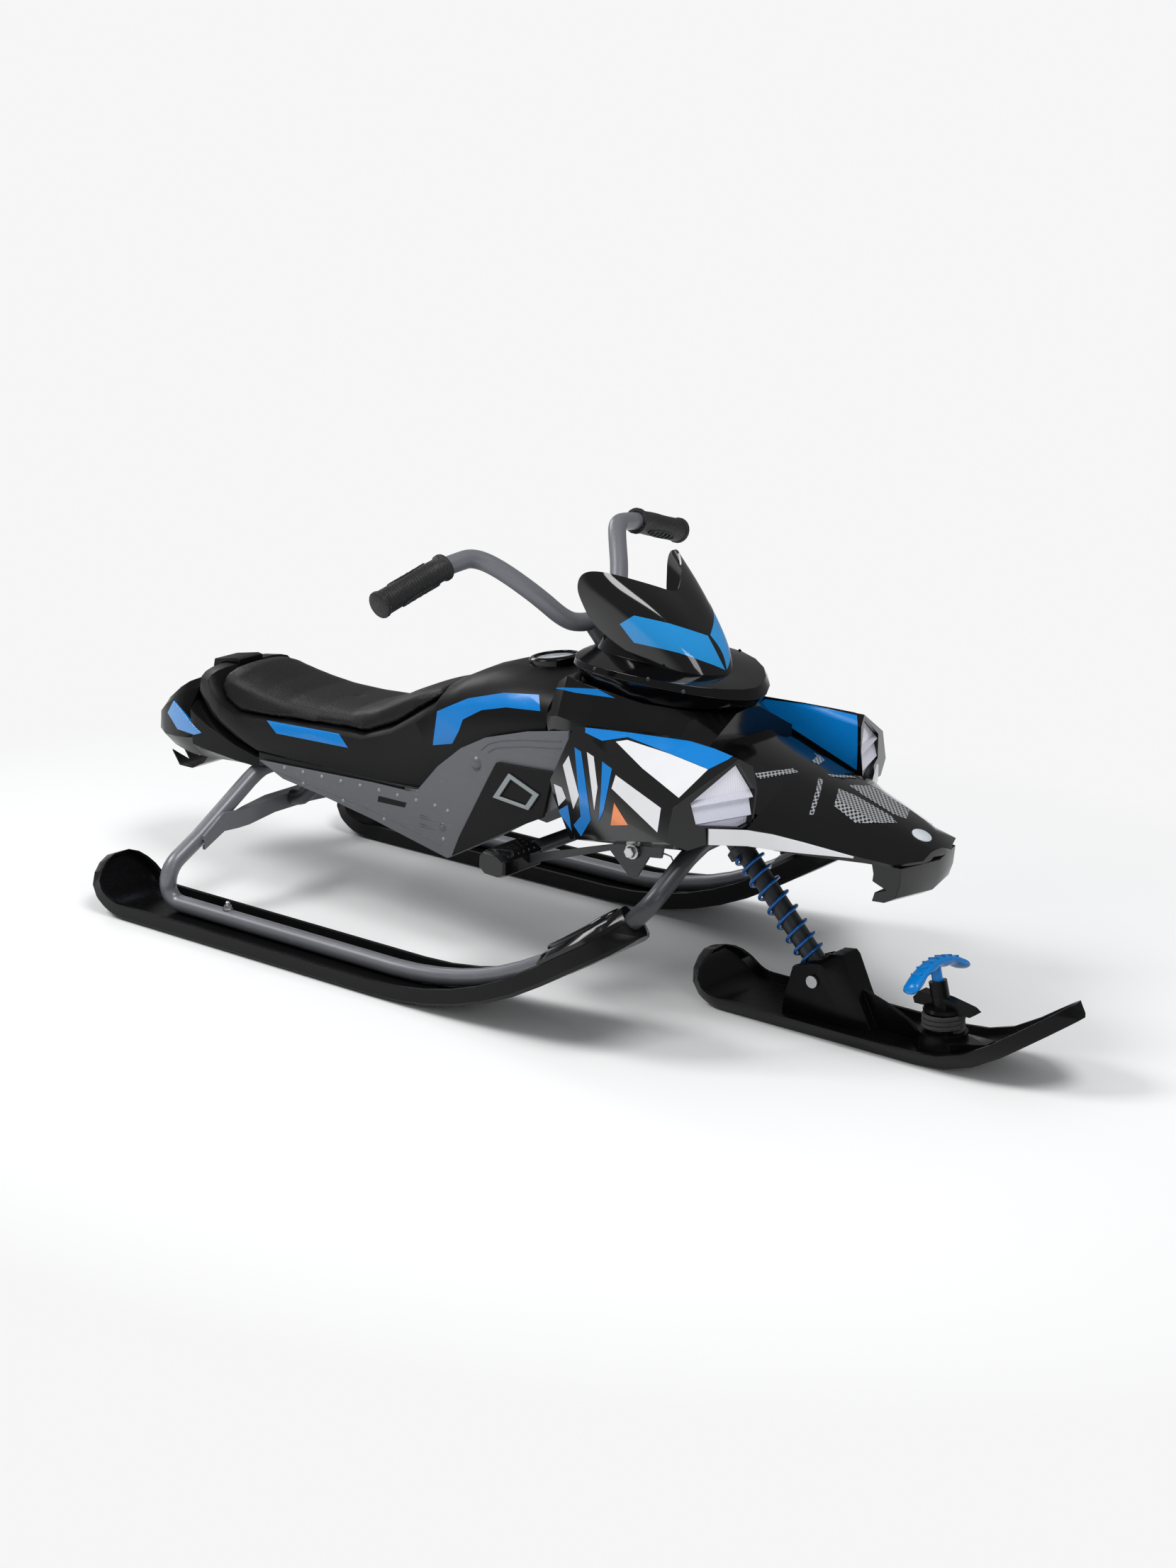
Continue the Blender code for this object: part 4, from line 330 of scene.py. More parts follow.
class Library:
    """Makes each material once and hands it out by name."""

    def __init__(self) -> None:
        """Starts with no materials."""
        self.made: dict[str, bpy.types.Material] = {}

    def get(self, name: str) -> bpy.types.Material:
        """Hands out a material, which is made when it is first asked for.

        Args:
            name: the finish's or the material's name.
        Returns:
            The material.
        """
        if name not in self.made:
            graph = Graph(bpy.data.materials.new(name))
            maker = getattr(self, "make_" + name, None)
            self.made[name] = graph.close(maker(graph) if maker else self.moulded(graph, FINISHES[name]))
        return self.made[name]

    def moulded(self, graph: Graph, finish: Finish) -> Socket:
        """Paint or moulded plastic: fine texture, uneven gloss, and faint scuffs.

        Args:
            graph: the material's node tree.
            finish: how it looks.
        Returns:
            The surface.
        """
        cloud = graph.noise(14.0, 3.0)
        fine = graph.noise(finish.grain_scale, 2.0)
        scratch = graph.noise(60.0, 6.0, (1.0, 6.0, 6.0))
        scuffs = ((scratch - 0.62) * 6.0).clamp() * finish.wear * 4.0
        tone = graph.blend((cloud - 0.35).clamp(0.0, 0.3), finish.colour, [c * 1.18 for c in finish.colour])
        rough = (cloud * 0.12 + scuffs * 0.5 + (finish.rough - 0.06)).clamp(0.03, 0.95)
        return graph.surface(
            Base_Color=graph.blend(scuffs, tone, finish.scuff), Roughness=rough, Metallic=finish.metallic,
            Coat_Weight=finish.coat, Coat_Roughness=0.08, Specular_IOR_Level=finish.specular,
            Normal=graph.bump(fine, finish.grain),
        )

    def make_seat_vinyl(self, graph: Graph) -> Socket:
        """Black vinyl with a pebbled grain and duller creases.

        Args:
            graph: the material's node tree.
        Returns:
            The surface.
        """
        pebble, large = graph.cells(520.0), graph.cells(150.0)
        cloud = graph.noise(22.0, 3.0)
        colour = graph.blend((cloud - 0.3).clamp(0.0, 0.5), (0.0045, 0.0045, 0.005), (0.008, 0.008, 0.0088))
        rough = (cloud * 0.14 + pebble * 0.10 + 0.36).clamp(0.2, 0.8)
        normal = graph.bump(pebble, 0.00022, 0.8, graph.bump(large, 0.00018, 0.5))
        return graph.surface(Base_Color=colour, Roughness=rough, Specular_IOR_Level=0.26, Normal=normal)

    def make_grip_rubber(self, graph: Graph) -> Socket:
        """Black rubber with rows of raised pads and fine ribs along the grip.

        Args:
            graph: the material's node tree.
        Returns:
            The surface.
        """
        rings = (graph.axis("Y") * 1800.0).sine()
        pads = ((0.42 - graph.cells(300.0)) * 8.0).clamp()
        colour = graph.blend(pads * 0.6, (0.008, 0.008, 0.0085), (0.02, 0.02, 0.021))
        normal = graph.bump(pads, 0.0009, 1.0, graph.bump(rings, 0.00012, 0.5))
        return graph.surface(Base_Color=colour, Roughness=graph.noise(60.0) * 0.15 + 0.48, Normal=normal)

    def make_rope(self, graph: Graph) -> Socket:
        """Black braided cord: two crossing sets of strands round the rope, on its own map, with painted shade
        darkening the grooves between the strands.

        Args:
            graph: the material's node tree.
        Returns:
            The surface.
        """
        route = graph.value("ShaderNodeUVMap", 0, {"uv_map": "route"})
        along = graph.axis("X", route) * 2600.0
        around = graph.axis("Y", route) * (6.0 * 2 * pi)
        weave_and_shade = (along + around).sine().at_least((along - around).sine())
        fuzz = graph.noise(1500.0, 3.0)
        # painted shade: the grooves between the strands are darker, the strand bodies lighter
        colour = graph.blend((weave_and_shade * 0.5 + 0.5) * 0.7, (0.006, 0.006, 0.0065), (0.03, 0.03, 0.032))
        normal = graph.bump(weave_and_shade + fuzz * 0.4, 0.00035, 0.9)
        return graph.surface(Base_Color=colour, Roughness=fuzz * 0.2 + 0.62, Sheen_Weight=0.3, Normal=normal)

    def make_reflector(self, graph: Graph) -> Socket:
        """Bright lamp reflector with fine vertical flutes behind a clear lens, with a painted highlight that
        makes it paler and whiter toward its top.

        Args:
            graph: the material's node tree.
        Returns:
            The surface.
        """
        flutes = (graph.axis("Y") * 2400.0).sine()
        # painted highlight: the reflector's colour turns paler and whiter toward its top
        high = ((graph.axis("Z") - 0.232) * 16.0).clamp()
        return graph.surface(
            Base_Color=graph.blend(high, (0.66, 0.66, 0.80), (0.86, 0.86, 0.92)), Metallic=0.15,
            Roughness=graph.noise(30.0, 2.0) * 0.12 + 0.18, Coat_Weight=0.6, Coat_Roughness=0.03,
            Normal=graph.bump(flutes, 0.00012, 0.6),
        )

    def make_perforated(self, graph: Graph) -> Socket:
        """Light film printed with a grid of dark round dots.

        Args:
            graph: the material's node tree.
        Returns:
            The surface.
        """
        across, along = ((graph.axis(name) * 1150.0).sine() for name in "YX")
        dots = ((across * along - 0.02) * 9.0).clamp()
        return graph.surface(
            Base_Color=graph.blend(dots, (0.30, 0.31, 0.32), (0.004, 0.004, 0.005)), Coat_Weight=0.3,
            Roughness=graph.noise(30.0) * 0.1 + 0.24, Normal=graph.bump(dots, 0.00008),
        )

    def make_screen(self, graph: Graph) -> Socket:
        """Smoked glossy screen, a little paler toward its top."""
        height = ((graph.axis("Z") - 0.36) * 9.0).clamp()
        return graph.surface(
            Base_Color=graph.blend(height * 0.5, (0.0028, 0.0028, 0.0034), (0.005, 0.005, 0.006)),
            Roughness=graph.noise(9.0, 2.0) * 0.05 + 0.05, Coat_Weight=0.15, Coat_Roughness=0.02,
            Normal=graph.bump(graph.noise(40.0, 1.0), 0.00003),
        )

    def make_disc(self, graph: Graph) -> Socket:
        """Pale moulded disc, faintly clouded."""
        cloud = graph.noise(160.0, 2.0)
        return graph.surface(
            Base_Color=graph.blend(cloud * 0.5, (0.50, 0.54, 0.58), (0.72, 0.75, 0.78)),
            Roughness=cloud * 0.2 + 0.18, Coat_Weight=0.5, Normal=graph.bump(cloud, 0.00005),
        )

    def make_lens_blue(self, graph: Graph) -> Socket:
        """Blue tail lens with fine ribs.

        Args:
            graph: the material's node tree.
        Returns:
            The surface.
        """
        ribs = (graph.axis("X") * 3200.0).sine()
        cloud = graph.noise(24.0)
        return graph.surface(
            Base_Color=graph.blend(cloud * 0.4, BLUE, (0.012, 0.36, 0.80)), Roughness=cloud * 0.1 + 0.10,
            Coat_Weight=0.8, Coat_Roughness=0.03, Normal=graph.bump(ribs, 0.00005, 0.5),
        )

    def make_floor(self, graph: Graph) -> Socket:
        """Pale matt studio floor that runs out into the white backdrop.

        Args:
            graph: the material's node tree.
        Returns:
            The surface, with light of its own far out.
        """
        cloud = graph.noise(3.0, 4.0)
        ground = graph.surface(
            Base_Color=graph.blend(cloud * 0.2, (0.89, 0.89, 0.89), (0.87, 0.87, 0.872)),
            Roughness=cloud * 0.1 + 0.75, Specular_IOR_Level=0.1,
        )
        x, y = graph.axis("X"), graph.axis("Y")
        away = ((x * x * 0.6 + y * y - 0.32) / 0.55).clamp()
        seen = graph.value("ShaderNodeLightPath", "Is Camera Ray")
        return graph.mixed(away * seen, ground, graph.value("ShaderNodeEmission", 0, Color=BACKDROP))


# Mesh tools


def as_mesh(name: str, bm: BMesh) -> bpy.types.Mesh:
    """Turns a bmesh into a mesh, and frees it.

    Args:
        name: the mesh's name.
        bm: the shape.
    Returns:
        The mesh.
    """
    data = bpy.data.meshes.new(name)
    bm.to_mesh(data)
    bm.free()
    return data


def placed(name: str, data: bpy.types.ID) -> bpy.types.Object:
    """Puts a new object in the scene.

    Args:
        name: its name.
        data: what it shows.
    Returns:
        The object.
    """
    thing = bpy.data.objects.new(name, data)
    bpy.context.scene.collection.objects.link(thing)
    return thing


def modified(thing: bpy.types.Object, kind: str, **settings: object) -> None:
    """Adds a modifier to an object.

    Args:
        thing: the object.
        kind: the modifier's type.
        settings: its settings.
    """
    made = thing.modifiers.new(kind.title(), kind)
    for key, value in settings.items():
        setattr(made, key, value)


def applied(thing: bpy.types.Object) -> bpy.types.Mesh:
    """Takes an object's mesh as its modifiers shape it, and removes the object.

    Args:
        thing: the object.
    Returns:
        The mesh.
    """
    data = bpy.data.meshes.new_from_object(thing.evaluated_get(bpy.context.evaluated_depsgraph_get()))
    bpy.data.objects.remove(thing)
    return data


def joined(parts: Sequence[BMesh]) -> BMesh:
    """Makes one bmesh of several, and frees those.

    Args:
        parts: the bmeshes.
    Returns:
        The whole.
    """
    whole = bmesh.new()
    for part in parts:
        mesh = as_mesh("part", part)
        whole.from_mesh(mesh)
        bpy.data.meshes.remove(mesh)
    return whole


def lofted(rings: Sequence[Sequence[Vector]], runs: Sequence[float] = (), uv_name: str = "") -> BMesh:
    """A closed skin over rings of points.

    Args:
        rings: equally many points each, from one end to the other.
        runs: how far along each ring lies, for the map.
        uv_name: the name of a map of metres along and turns around, or none.
    Returns:
        A bmesh.
    """
    bm = bmesh.new()
    layer = bm.loops.layers.uv.new(uv_name) if uv_name else None
    skin = [[bm.verts.new(point) for point in ring] for ring in rings]
    steps = len(rings[0])
    for i, (low, high) in enumerate(zip(skin, skin[1:])):
        for k in range(steps):
            face = bm.faces.new((low[k], low[(k + 1) % steps], high[(k + 1) % steps], high[k]))
            if layer:
                corners = ((i, k), (i, k + 1), (i + 1, k + 1), (i + 1, k))
                for loop, (row, turn) in zip(face.loops, corners):
                    loop[layer].uv = (runs[row], turn / steps)
    bm.faces.new(skin[0][::-1])
    bm.faces.new(skin[-1])
    bmesh.ops.recalc_face_normals(bm, faces=bm.faces)
    return bm


def tube(path: Sequence[Vector], radius: float, steps: int, uv_name: str = "") -> BMesh:
    """A closed round tube along a path of points.

    Args:
        path: the centre line.
        radius: of the tube.
        steps: sides of its section.
        uv_name: the name of a map of metres along and turns around, or none.
    Returns:
        A bmesh.
    """
    rings, runs, side = [], [0.0], None
    for i, point in enumerate(path):
        ahead = (path[min(i + 1, len(path) - 1)] - path[max(i - 1, 0)]).normalized()
        side = side or ahead.orthogonal().normalized()
        side = (side - ahead * side.dot(ahead)).normalized()
        up = ahead.cross(side)
        turns = [2 * pi * k / steps for k in range(steps)]
        rings.append([point + (side * cos(turn) + up * sin(turn)) * radius for turn in turns])
        if i:
            runs.append(runs[-1] + (point - path[i - 1]).length)
    return lofted(rings, runs, uv_name)


def turned(profile: Profile, base: Vector, axis: Vector, steps: int) -> BMesh:
    """A solid turned about an axis.

    Args:
        profile: radii and heights in millimetres, starting and ending on the axis.
        base: the point of the axis at height 0.
        axis: its direction.
        steps: sides of the round.
    Returns:
        A bmesh.
    """
    bm = bmesh.new()
    edge = [bm.verts.new((radius / 1000, 0, height / 1000)) for radius, height in profile]
    for a, b in zip(edge, edge[1:]):
        bm.edges.new((a, b))
    bmesh.ops.spin(
        bm, geom=bm.verts[:] + bm.edges[:], cent=(0, 0, 0), axis=UP, angle=2 * pi, steps=steps,
        use_merge=True,
    )
    bmesh.ops.remove_doubles(bm, verts=bm.verts, dist=WELD)
    turn = UP.rotation_difference(axis).to_matrix().to_4x4()
    bmesh.ops.transform(bm, matrix=Matrix.Translation(base) @ turn, verts=bm.verts)
    bmesh.ops.recalc_face_normals(bm, faces=bm.faces)
    return bm


def drum(radius: float, low: float, high: float) -> Profile:
    """The profile of a plain drum between two heights."""
    return (0.0, low), (radius, low), (radius, high), (0.0, high)


def rounded_bar(length: float, width: float, height: float, at: Vector, along: Vector, up: Vector) -> BMesh:
    """A low bar with rounded edges and ends.

    Args:
        length, width, height: its size, with the height above its foot.
        at: the middle of its foot.
        along: the direction of its length.
        up: the direction of its height.
    Returns:
        A bmesh.
    """
    bm = bmesh.new()
    bmesh.ops.create_cube(bm, size=1.0)
    bmesh.ops.scale(bm, vec=(length, width, height * 2), verts=bm.verts)
    bmesh.ops.bevel(
        bm, geom=bm.edges[:], offset=min(width, height * 2) * BAR_ROUNDING, offset_type="OFFSET",
        segments=3, profile=0.5, affect="EDGES", material=-1,
    )
    out = up.normalized()
    ahead = (along - out * along.dot(out)).normalized()
    turn = Matrix((ahead, out.cross(ahead), out)).transposed().to_4x4()
    bmesh.ops.transform(bm, matrix=Matrix.Translation(at) @ turn, verts=bm.verts)
    return bm


class Workshop:
    """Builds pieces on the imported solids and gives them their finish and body."""

    MERGE = 0.00002                   # corners of a solid nearer than this are one
    FLAT = 0.6                        # faces that differ by less than this, in degrees, are one
    STICKER = 0.00030                 # how far a printed film stands off its surface
    FILM_REACH = 0.030                # how far a film's outline may lie from the surface it is pressed on
    FILM_MERGE = 0.00001              # corners of a film nearer than this are one
    EDGE_ON = -0.04                   # a face takes a film where its normal goes this far against the press
    SLIVER = 1e-9                     # a smaller part of an outline is left out

    def __init__(self, frame: dict, library: Library) -> None:
        """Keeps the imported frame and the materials.

        Args:
            frame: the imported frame.
            library: the materials.
        """
        self.frame = frame
        self.library = library
        self.trees: dict[str, BVHTree] = {}
        self.dressed: dict[str, bpy.types.Mesh] = {}
        bodies = frame["record"]["behaviour"]["bodies"]
        self.body_of = {node: body for body, nodes in bodies.items() for node in nodes}

    def solid(self, node: str) -> BMesh:
        """Copies a CAD node's shape.

        Args:
            node: the CAD node.
        Returns:
            A bmesh.
        """
        bm = bmesh.new()
        bm.from_mesh(self.frame["nodes"][node].data)
        return bm

    def add(
        self, name: str, mesh: BMesh | bpy.types.Mesh, finish: str, body: str | None, angle: float,
    ) -> bpy.types.Object:
        """Puts a mesh in the scene as a smooth-shaded piece that rides on a body.

        Args:
            name: the piece's name.
            mesh: its shape, in the row frame.
            finish: the name of its material.
            body: the body that carries it, or none for a piece that no body carries.
            angle: edges sharper than this stay sharp, in degrees.
        Returns:
            The new object.
        """
        data = as_mesh(name, mesh) if isinstance(mesh, BMesh) else mesh
        data.materials.clear()
        data.materials.append(self.library.get(finish))
        data.shade_smooth()
        data.set_sharp_from_angle(angle=radians(angle))
        piece = placed(name, data)
        if body:
            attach(piece, body)
        LOG.info("%s in %s", name, finish)
        return piece

    def refined(self, node: str, finish: str, bevel: float, angle: float) -> None:
        """Stands a rigid solid with rounded edges in for its CAD node.

        Args:
            node: the CAD node.
            finish: the name of its material.
            bevel: width of the rounded edges in metres, or 0 for none.
            angle: edges sharper than this are rounded, in degrees.
        """
        bm = self.solid(node)
        bmesh.ops.remove_doubles(bm, verts=bm.verts, dist=self.MERGE)
        bmesh.ops.dissolve_limit(bm, angle_limit=radians(self.FLAT), verts=bm.verts, edges=bm.edges)
        data = as_mesh(node + "_shape", bm)
        if "custom_normal" in data.attributes:
            data.attributes.remove(data.attributes["custom_normal"])
        piece = self.add(node + "_finished", data, finish, self.body_of[node], angle)
        if bevel:
            modified(
                piece, "BEVEL", width=bevel, segments=2, limit_method="ANGLE", angle_limit=radians(angle),
                harden_normals=True, use_clamp_overlap=True,
            )
        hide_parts(node)

    def tree(self, node: str) -> BVHTree:
        """Finds a CAD node's surface, for laying things on it.

        Args:
            node: the CAD node.
        Returns:
            The surface as a tree.
        """
        if node not in self.trees:
            bm = self.solid(node)
            self.trees[node] = BVHTree.FromBMesh(bm)
            bm.free()
        return self.trees[node]

    def surface(self, node: str, point: Vector, toward: Vector, reach: float = 0.06) -> tuple[Vector, Vector]:
        """Where a line meets a node.

        Args:
            node: the CAD node.
            point: a point of the line.
            toward: its direction.
            reach: how far before and behind the point it is followed.
        Returns:
            The place and its normal, or the place nearest to the point where the line misses.
        """
        place, normal, _, _ = self.tree(node).ray_cast(point - toward * reach, toward, reach * 2)
        if place is None:
            place, normal, _, _ = self.tree(node).find_nearest(point)
        return place, normal

    def film(self, name: str, node: str, outline: Sequence[Vector], finish: str, toward: Vector) -> None:
        """Lays a thin printed film on a node, cut to an outline from the node's own surface.

        Args:
            name: the piece's name.
            node: the CAD node that carries it.
            outline: its corners, as points near the surface.
            finish: the name of its material.
            toward: the direction in which it is pressed on.
        """
        source = bmesh.new()
        source.from_mesh(self.dressed.get(node) or self.frame["nodes"][node].data)
        away = [face for face in source.faces if face.normal.dot(toward) > self.EDGE_ON]
        bmesh.ops.delete(source, geom=away, context="FACES")
        parts = []
        for corners in tessellate_polygon([outline]):
            a, b, c = (outline[i] for i in corners)
            flat = (b - a).cross(c - a)
            if abs(flat.dot(toward)) < self.SLIVER:
                continue
            part = source.copy()
            middle = (a + b + c) / 3
            for start, end in ((a, b), (b, c), (c, a)):
                side = (end - start).cross(toward)
                if side.dot(middle - start) > 0:
                    side.negate()
                geometry = part.verts[:] + part.edges[:] + part.faces[:]
                bmesh.ops.bisect_plane(part, geom=geometry, plane_co=start, plane_no=side, clear_outer=True)
            deep = [
                face for face in part.faces
                if abs((face.calc_center_median() - a).dot(flat) / toward.dot(flat)) > self.FILM_REACH
            ]
            bmesh.ops.delete(part, geom=deep, context="FACES")
            parts.append(part)
        source.free()
        whole = joined(parts)
        bmesh.ops.remove_doubles(whole, verts=whole.verts, dist=self.FILM_MERGE)
        whole.normal_update()
        for vert in whole.verts:
            vert.co += vert.normal * self.STICKER
        self.add(name, whole, finish, self.body_of[node], 60.0)


# The sled's pieces


class Assembly(ABC):
    """A group of pieces, with its sizes as fields, that is built in one go."""

    @abstractmethod
    def build(self, shop: Workshop) -> None:
        """Makes the pieces.

        Args:
            shop: the workshop that shapes them and gives them their finish and body.
        """


@dataclass
class Hardware(Assembly):
    """The rigid solids: their finishes, and how wide and from what angle on their edges are rounded."""

    finishes: dict[str, str] = field(default_factory=lambda: {
        "tube_grey": "runner_tube rear_brace",
        "tube_dark": "front_hoop spine_tube head_tube lever_pivot_tube head_gusset steering_stem fork_tube",
        "ski_black": "rear_ski_left rear_ski_right front_ski ski_tower cleat_post tail_flap",
        "shoe_gloss": "ski_shoe_left ski_shoe_right foot_pedal_left foot_pedal_right",
        "body_black": "seat_shell seat_tab panel_inset_left panel_inset_right",
        "satin_black": "nose_cowl fender_left fender_right bumper cowl_core",
        "gloss_black": "instrument_pod filler_ring",
        "tail_black": "tail_cowl",
        "disc": "filler_lid nose_badge",
        "lens_blue": "tail_light_left tail_light_right",
        "panel_grey": "side_panel_left side_panel_right",
        "trim_grey": "window_trim_left window_trim_right",
        "reflector": "headlight_left headlight_right",
        "white": "nose_skirt_left nose_skirt_right",
        "grip_rubber": "grip_left grip_right",
        "plate_dark": "foot_bar brake_claw_left brake_claw_right",
        "zinc": "pivot_bolt pivot_bolt_left pivot_bolt_right claw_spring_left claw_spring_right",
    })
    bevel: float = 0.0009
    bevels: dict[str, float] = field(default_factory=lambda: {
        "tube_grey": 0.0, "tube_dark": 0.0, "zinc": 0.0004, "reflector": 0.0003, "plate_dark": 0.0004,
        "disc": 0.0004, "white": 0.0003, "trim_grey": 0.0006,
    })
    angle: float = 34.0
    angles: dict[str, float] = field(default_factory=lambda: {
        "tube_grey": 50.0, "tube_dark": 50.0, "grip_rubber": 50.0, "body_black": 38.0,
    })

    def build(self, shop: Workshop) -> None:
        """Dresses every rigid solid.

        Args:
            shop: the workshop.
        """
        for finish, nodes in self.finishes.items():
            bevel = self.bevels.get(finish, self.bevel)
            angle = self.angles.get(finish, self.angle)
            for node in nodes.split():
                shop.refined(node, finish, bevel, angle)


@dataclass
class Cushion(Assembly):
    """The vinyl pad: the solid's crown, stuffed and softened, with a button hollow pressed into its top."""

    voxel: float = 0.004
    softening: int = 4
    full: float = 1.045               # how much fuller the stuffed pad is across than its plain solid
    tuck: float = 0.0015              # how far its lower edge is tucked into the shell
    button: Vector = default(plan, -392, 0, 243)
    button_reach: float = 0.012
    button_depth: float = 0.0022

    def build(self, shop: Workshop) -> None:
        """Args:
            shop: the workshop.
        """
        pad = placed("seat_cushion", shop.frame["nodes"]["seat_pad"].data.copy())
        modified(pad, "REMESH", mode="VOXEL", voxel_size=self.voxel)
        modified(pad, "SMOOTH", factor=0.5, iterations=self.softening)
        shape = applied(pad)
        shell = shop.tree("seat_shell")
        for vert in shape.vertices:
            vert.co.y *= self.full
            far = (vert.co - self.button).xy.length
            if vert.co.z > self.button.z - self.button_reach and far < self.button_reach:
                vert.co.z -= self.button_depth * (1 - far / self.button_reach) ** 2
            deck, _, _, _ = shell.find_nearest(vert.co)
            if vert.co.z < deck.z + self.tuck:
                vert.co.z -= self.tuck
        bm = bmesh.new()
        bm.from_mesh(shape)
        cushion = shop.add("seat_cushion", bm, "seat_vinyl", "frame", 75.0)
        modified(cushion, "SUBSURF", levels=1, render_levels=1)
        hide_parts("seat_pad")


@dataclass
class TowRope(Assembly):
    """The braided tow rope on its drum, in the sizes of the CAD."""

    drum_x: float = 414.0             # in the drawing, in millimetres
    drum_radius: float = 0.0175
    rope_radius: float = 0.0023
    gap: float = 0.0003
    spacing: float = 0.0005
    turns: float = 3.5
    points_a_turn: int = 36
    foot: float = 0.0270
    bend: float = 0.005

    def route(self) -> list[Vector]:
        """Follows the centre line: in from the drum, round it, and back into it.

        Returns:
            Its points.
        """
        radius = self.drum_radius + self.gap + self.rope_radius
        low = self.foot + self.rope_radius + 2 * self.gap
        pitch = 2 * self.rope_radius + self.spacing
        middle = plan(self.drum_x, 0, 0)

        def place(turn: float, distance: float, aside: float, height: float) -> Vector:
            """A point at a turn of the drum, out from its axis and aside.

            Args:
                turn: the turn.
                distance: from the axis.
                aside: along the turn.
                height: above the floor.
            Returns:
                The point.
            """
            angle = 2 * pi * turn
            out = Vector((cos(angle), sin(angle), 0.0))
            along = Vector((-sin(angle), cos(angle), 0.0))
            return middle + out * distance + along * aside + UP * height

        bends = [radians(angle) for angle in (15, 30, 45, 60, 75, 90)]
        curve = [(radius - self.bend * (1 - cos(angle)), self.bend * sin(angle)) for angle in bends]
        curve.append((radius - self.bend - 2 * self.rope_radius, self.bend))
        path = [place(0, out, -aside, low) for out, aside in reversed(curve)]
        for i in range(round(self.turns * self.points_a_turn) + 1):
            turn = i / self.points_a_turn
            path.append(place(turn, radius, 0.0, low + pitch * turn))
        return path + [place(self.turns, out, aside, low + pitch * self.turns) for out, aside in curve]

    def build(self, shop: Workshop) -> None:
        """Args:
            shop: the workshop.
        """
        route = self.route()
        cord = tube(route, self.rope_radius, 12, "route")
        rope = shop.add("rope_winding", cord, "rope", "front_ski", 60.0)
        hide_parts("tow_rope")


@dataclass
class CoilSpring(Assembly):
    """The coil spring, in the sizes of the CAD."""

    foot: Vector = default(plan, 258.8, 0, 63.4)
    up: Vector = default(leaning, -0.682, 0.0, 0.7316)
    length: float = 0.137
    wire: float = 0.0019
    mean: float = 0.01425
    curls: float = 8.5
    points_a_curl: int = 24
    ease: float = 0.028
    gap: float = 0.0003

    def route(self) -> list[Vector]:
        """Follows the helix's centre line, whose ends are closer wound.

        Returns:
            Its points.
        """
        out = Vector((self.up.z, 0.0, -self.up.x))
        low = self.wire + self.gap
        high = self.length - self.wire - self.gap
        path = []
        count = round(self.curls * self.points_a_curl)
        for i in range(count + 1):
            share = i / count
            rise = low + (high - low) * min(1.0, max(0.0, share - self.ease * sin(2 * pi * share)))
            angle = 2 * pi * i / self.points_a_curl
            ring = Side.LEFT.out * cos(angle) - out * sin(angle)
            path.append(self.foot + self.up * rise + ring * self.mean)
        return path

    def build(self, shop: Workshop) -> None:
        """Makes the spring between the stem and the fork, carried by no body.

        Args:
            shop: the workshop.
        """
        spring = shop.add("spring_coil", tube(self.route(), self.wire, 12), "spring_blue", None, 60.0)
        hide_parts("coil_spring")
        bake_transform(spring)


@dataclass
class Handlebar(Assembly):
    """The handlebar: one tube in long easy bends."""

    corners: Corners = (
        (-119, 248, 433.5), (-113, 182.4, 452.5), (-111.5, 165, 457.7), (-108.5, 144, 461.2),
        (-106, 121, 463.5), (-90, 101, 452), (-61, 70, 420), (-45, 42, 390), (-39, 20, 384.8), (-39, 0, 385),
    )
    radius: float = 0.010
    steps: int = 8                    # points along each bend

    def route(self) -> list[Vector]:
        """Smooths the line that the corners lead, from the left end to the right one.

        Returns:
            Its points.
        """
        half = [plan(*corner) for corner in self.corners]
        corners = half + [mirrored(point) for point in reversed(half[:-1])]
        path = [corners[0]]
        last = len(corners) - 2
        for i in range(1, last + 1):
            start = corners[0] if i == 1 else (corners[i - 1] + corners[i]) / 2
            end = corners[-1] if i == last else (corners[i] + corners[i + 1]) / 2
            for k in range(1, self.steps + 1):
                u = k / self.steps
                path.append(start * (1 - u) ** 2 + corners[i] * (2 * u * (1 - u)) + end * u ** 2)
        return path

    def build(self, shop: Workshop) -> None:
        """Makes the tube.

        Args:
            shop: the workshop.
        """
        line = tube(self.route(), self.radius, 28)
        bar = shop.add("handlebar_finished", line, "tube_grey", "steering", 50.0)
        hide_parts("handlebar")


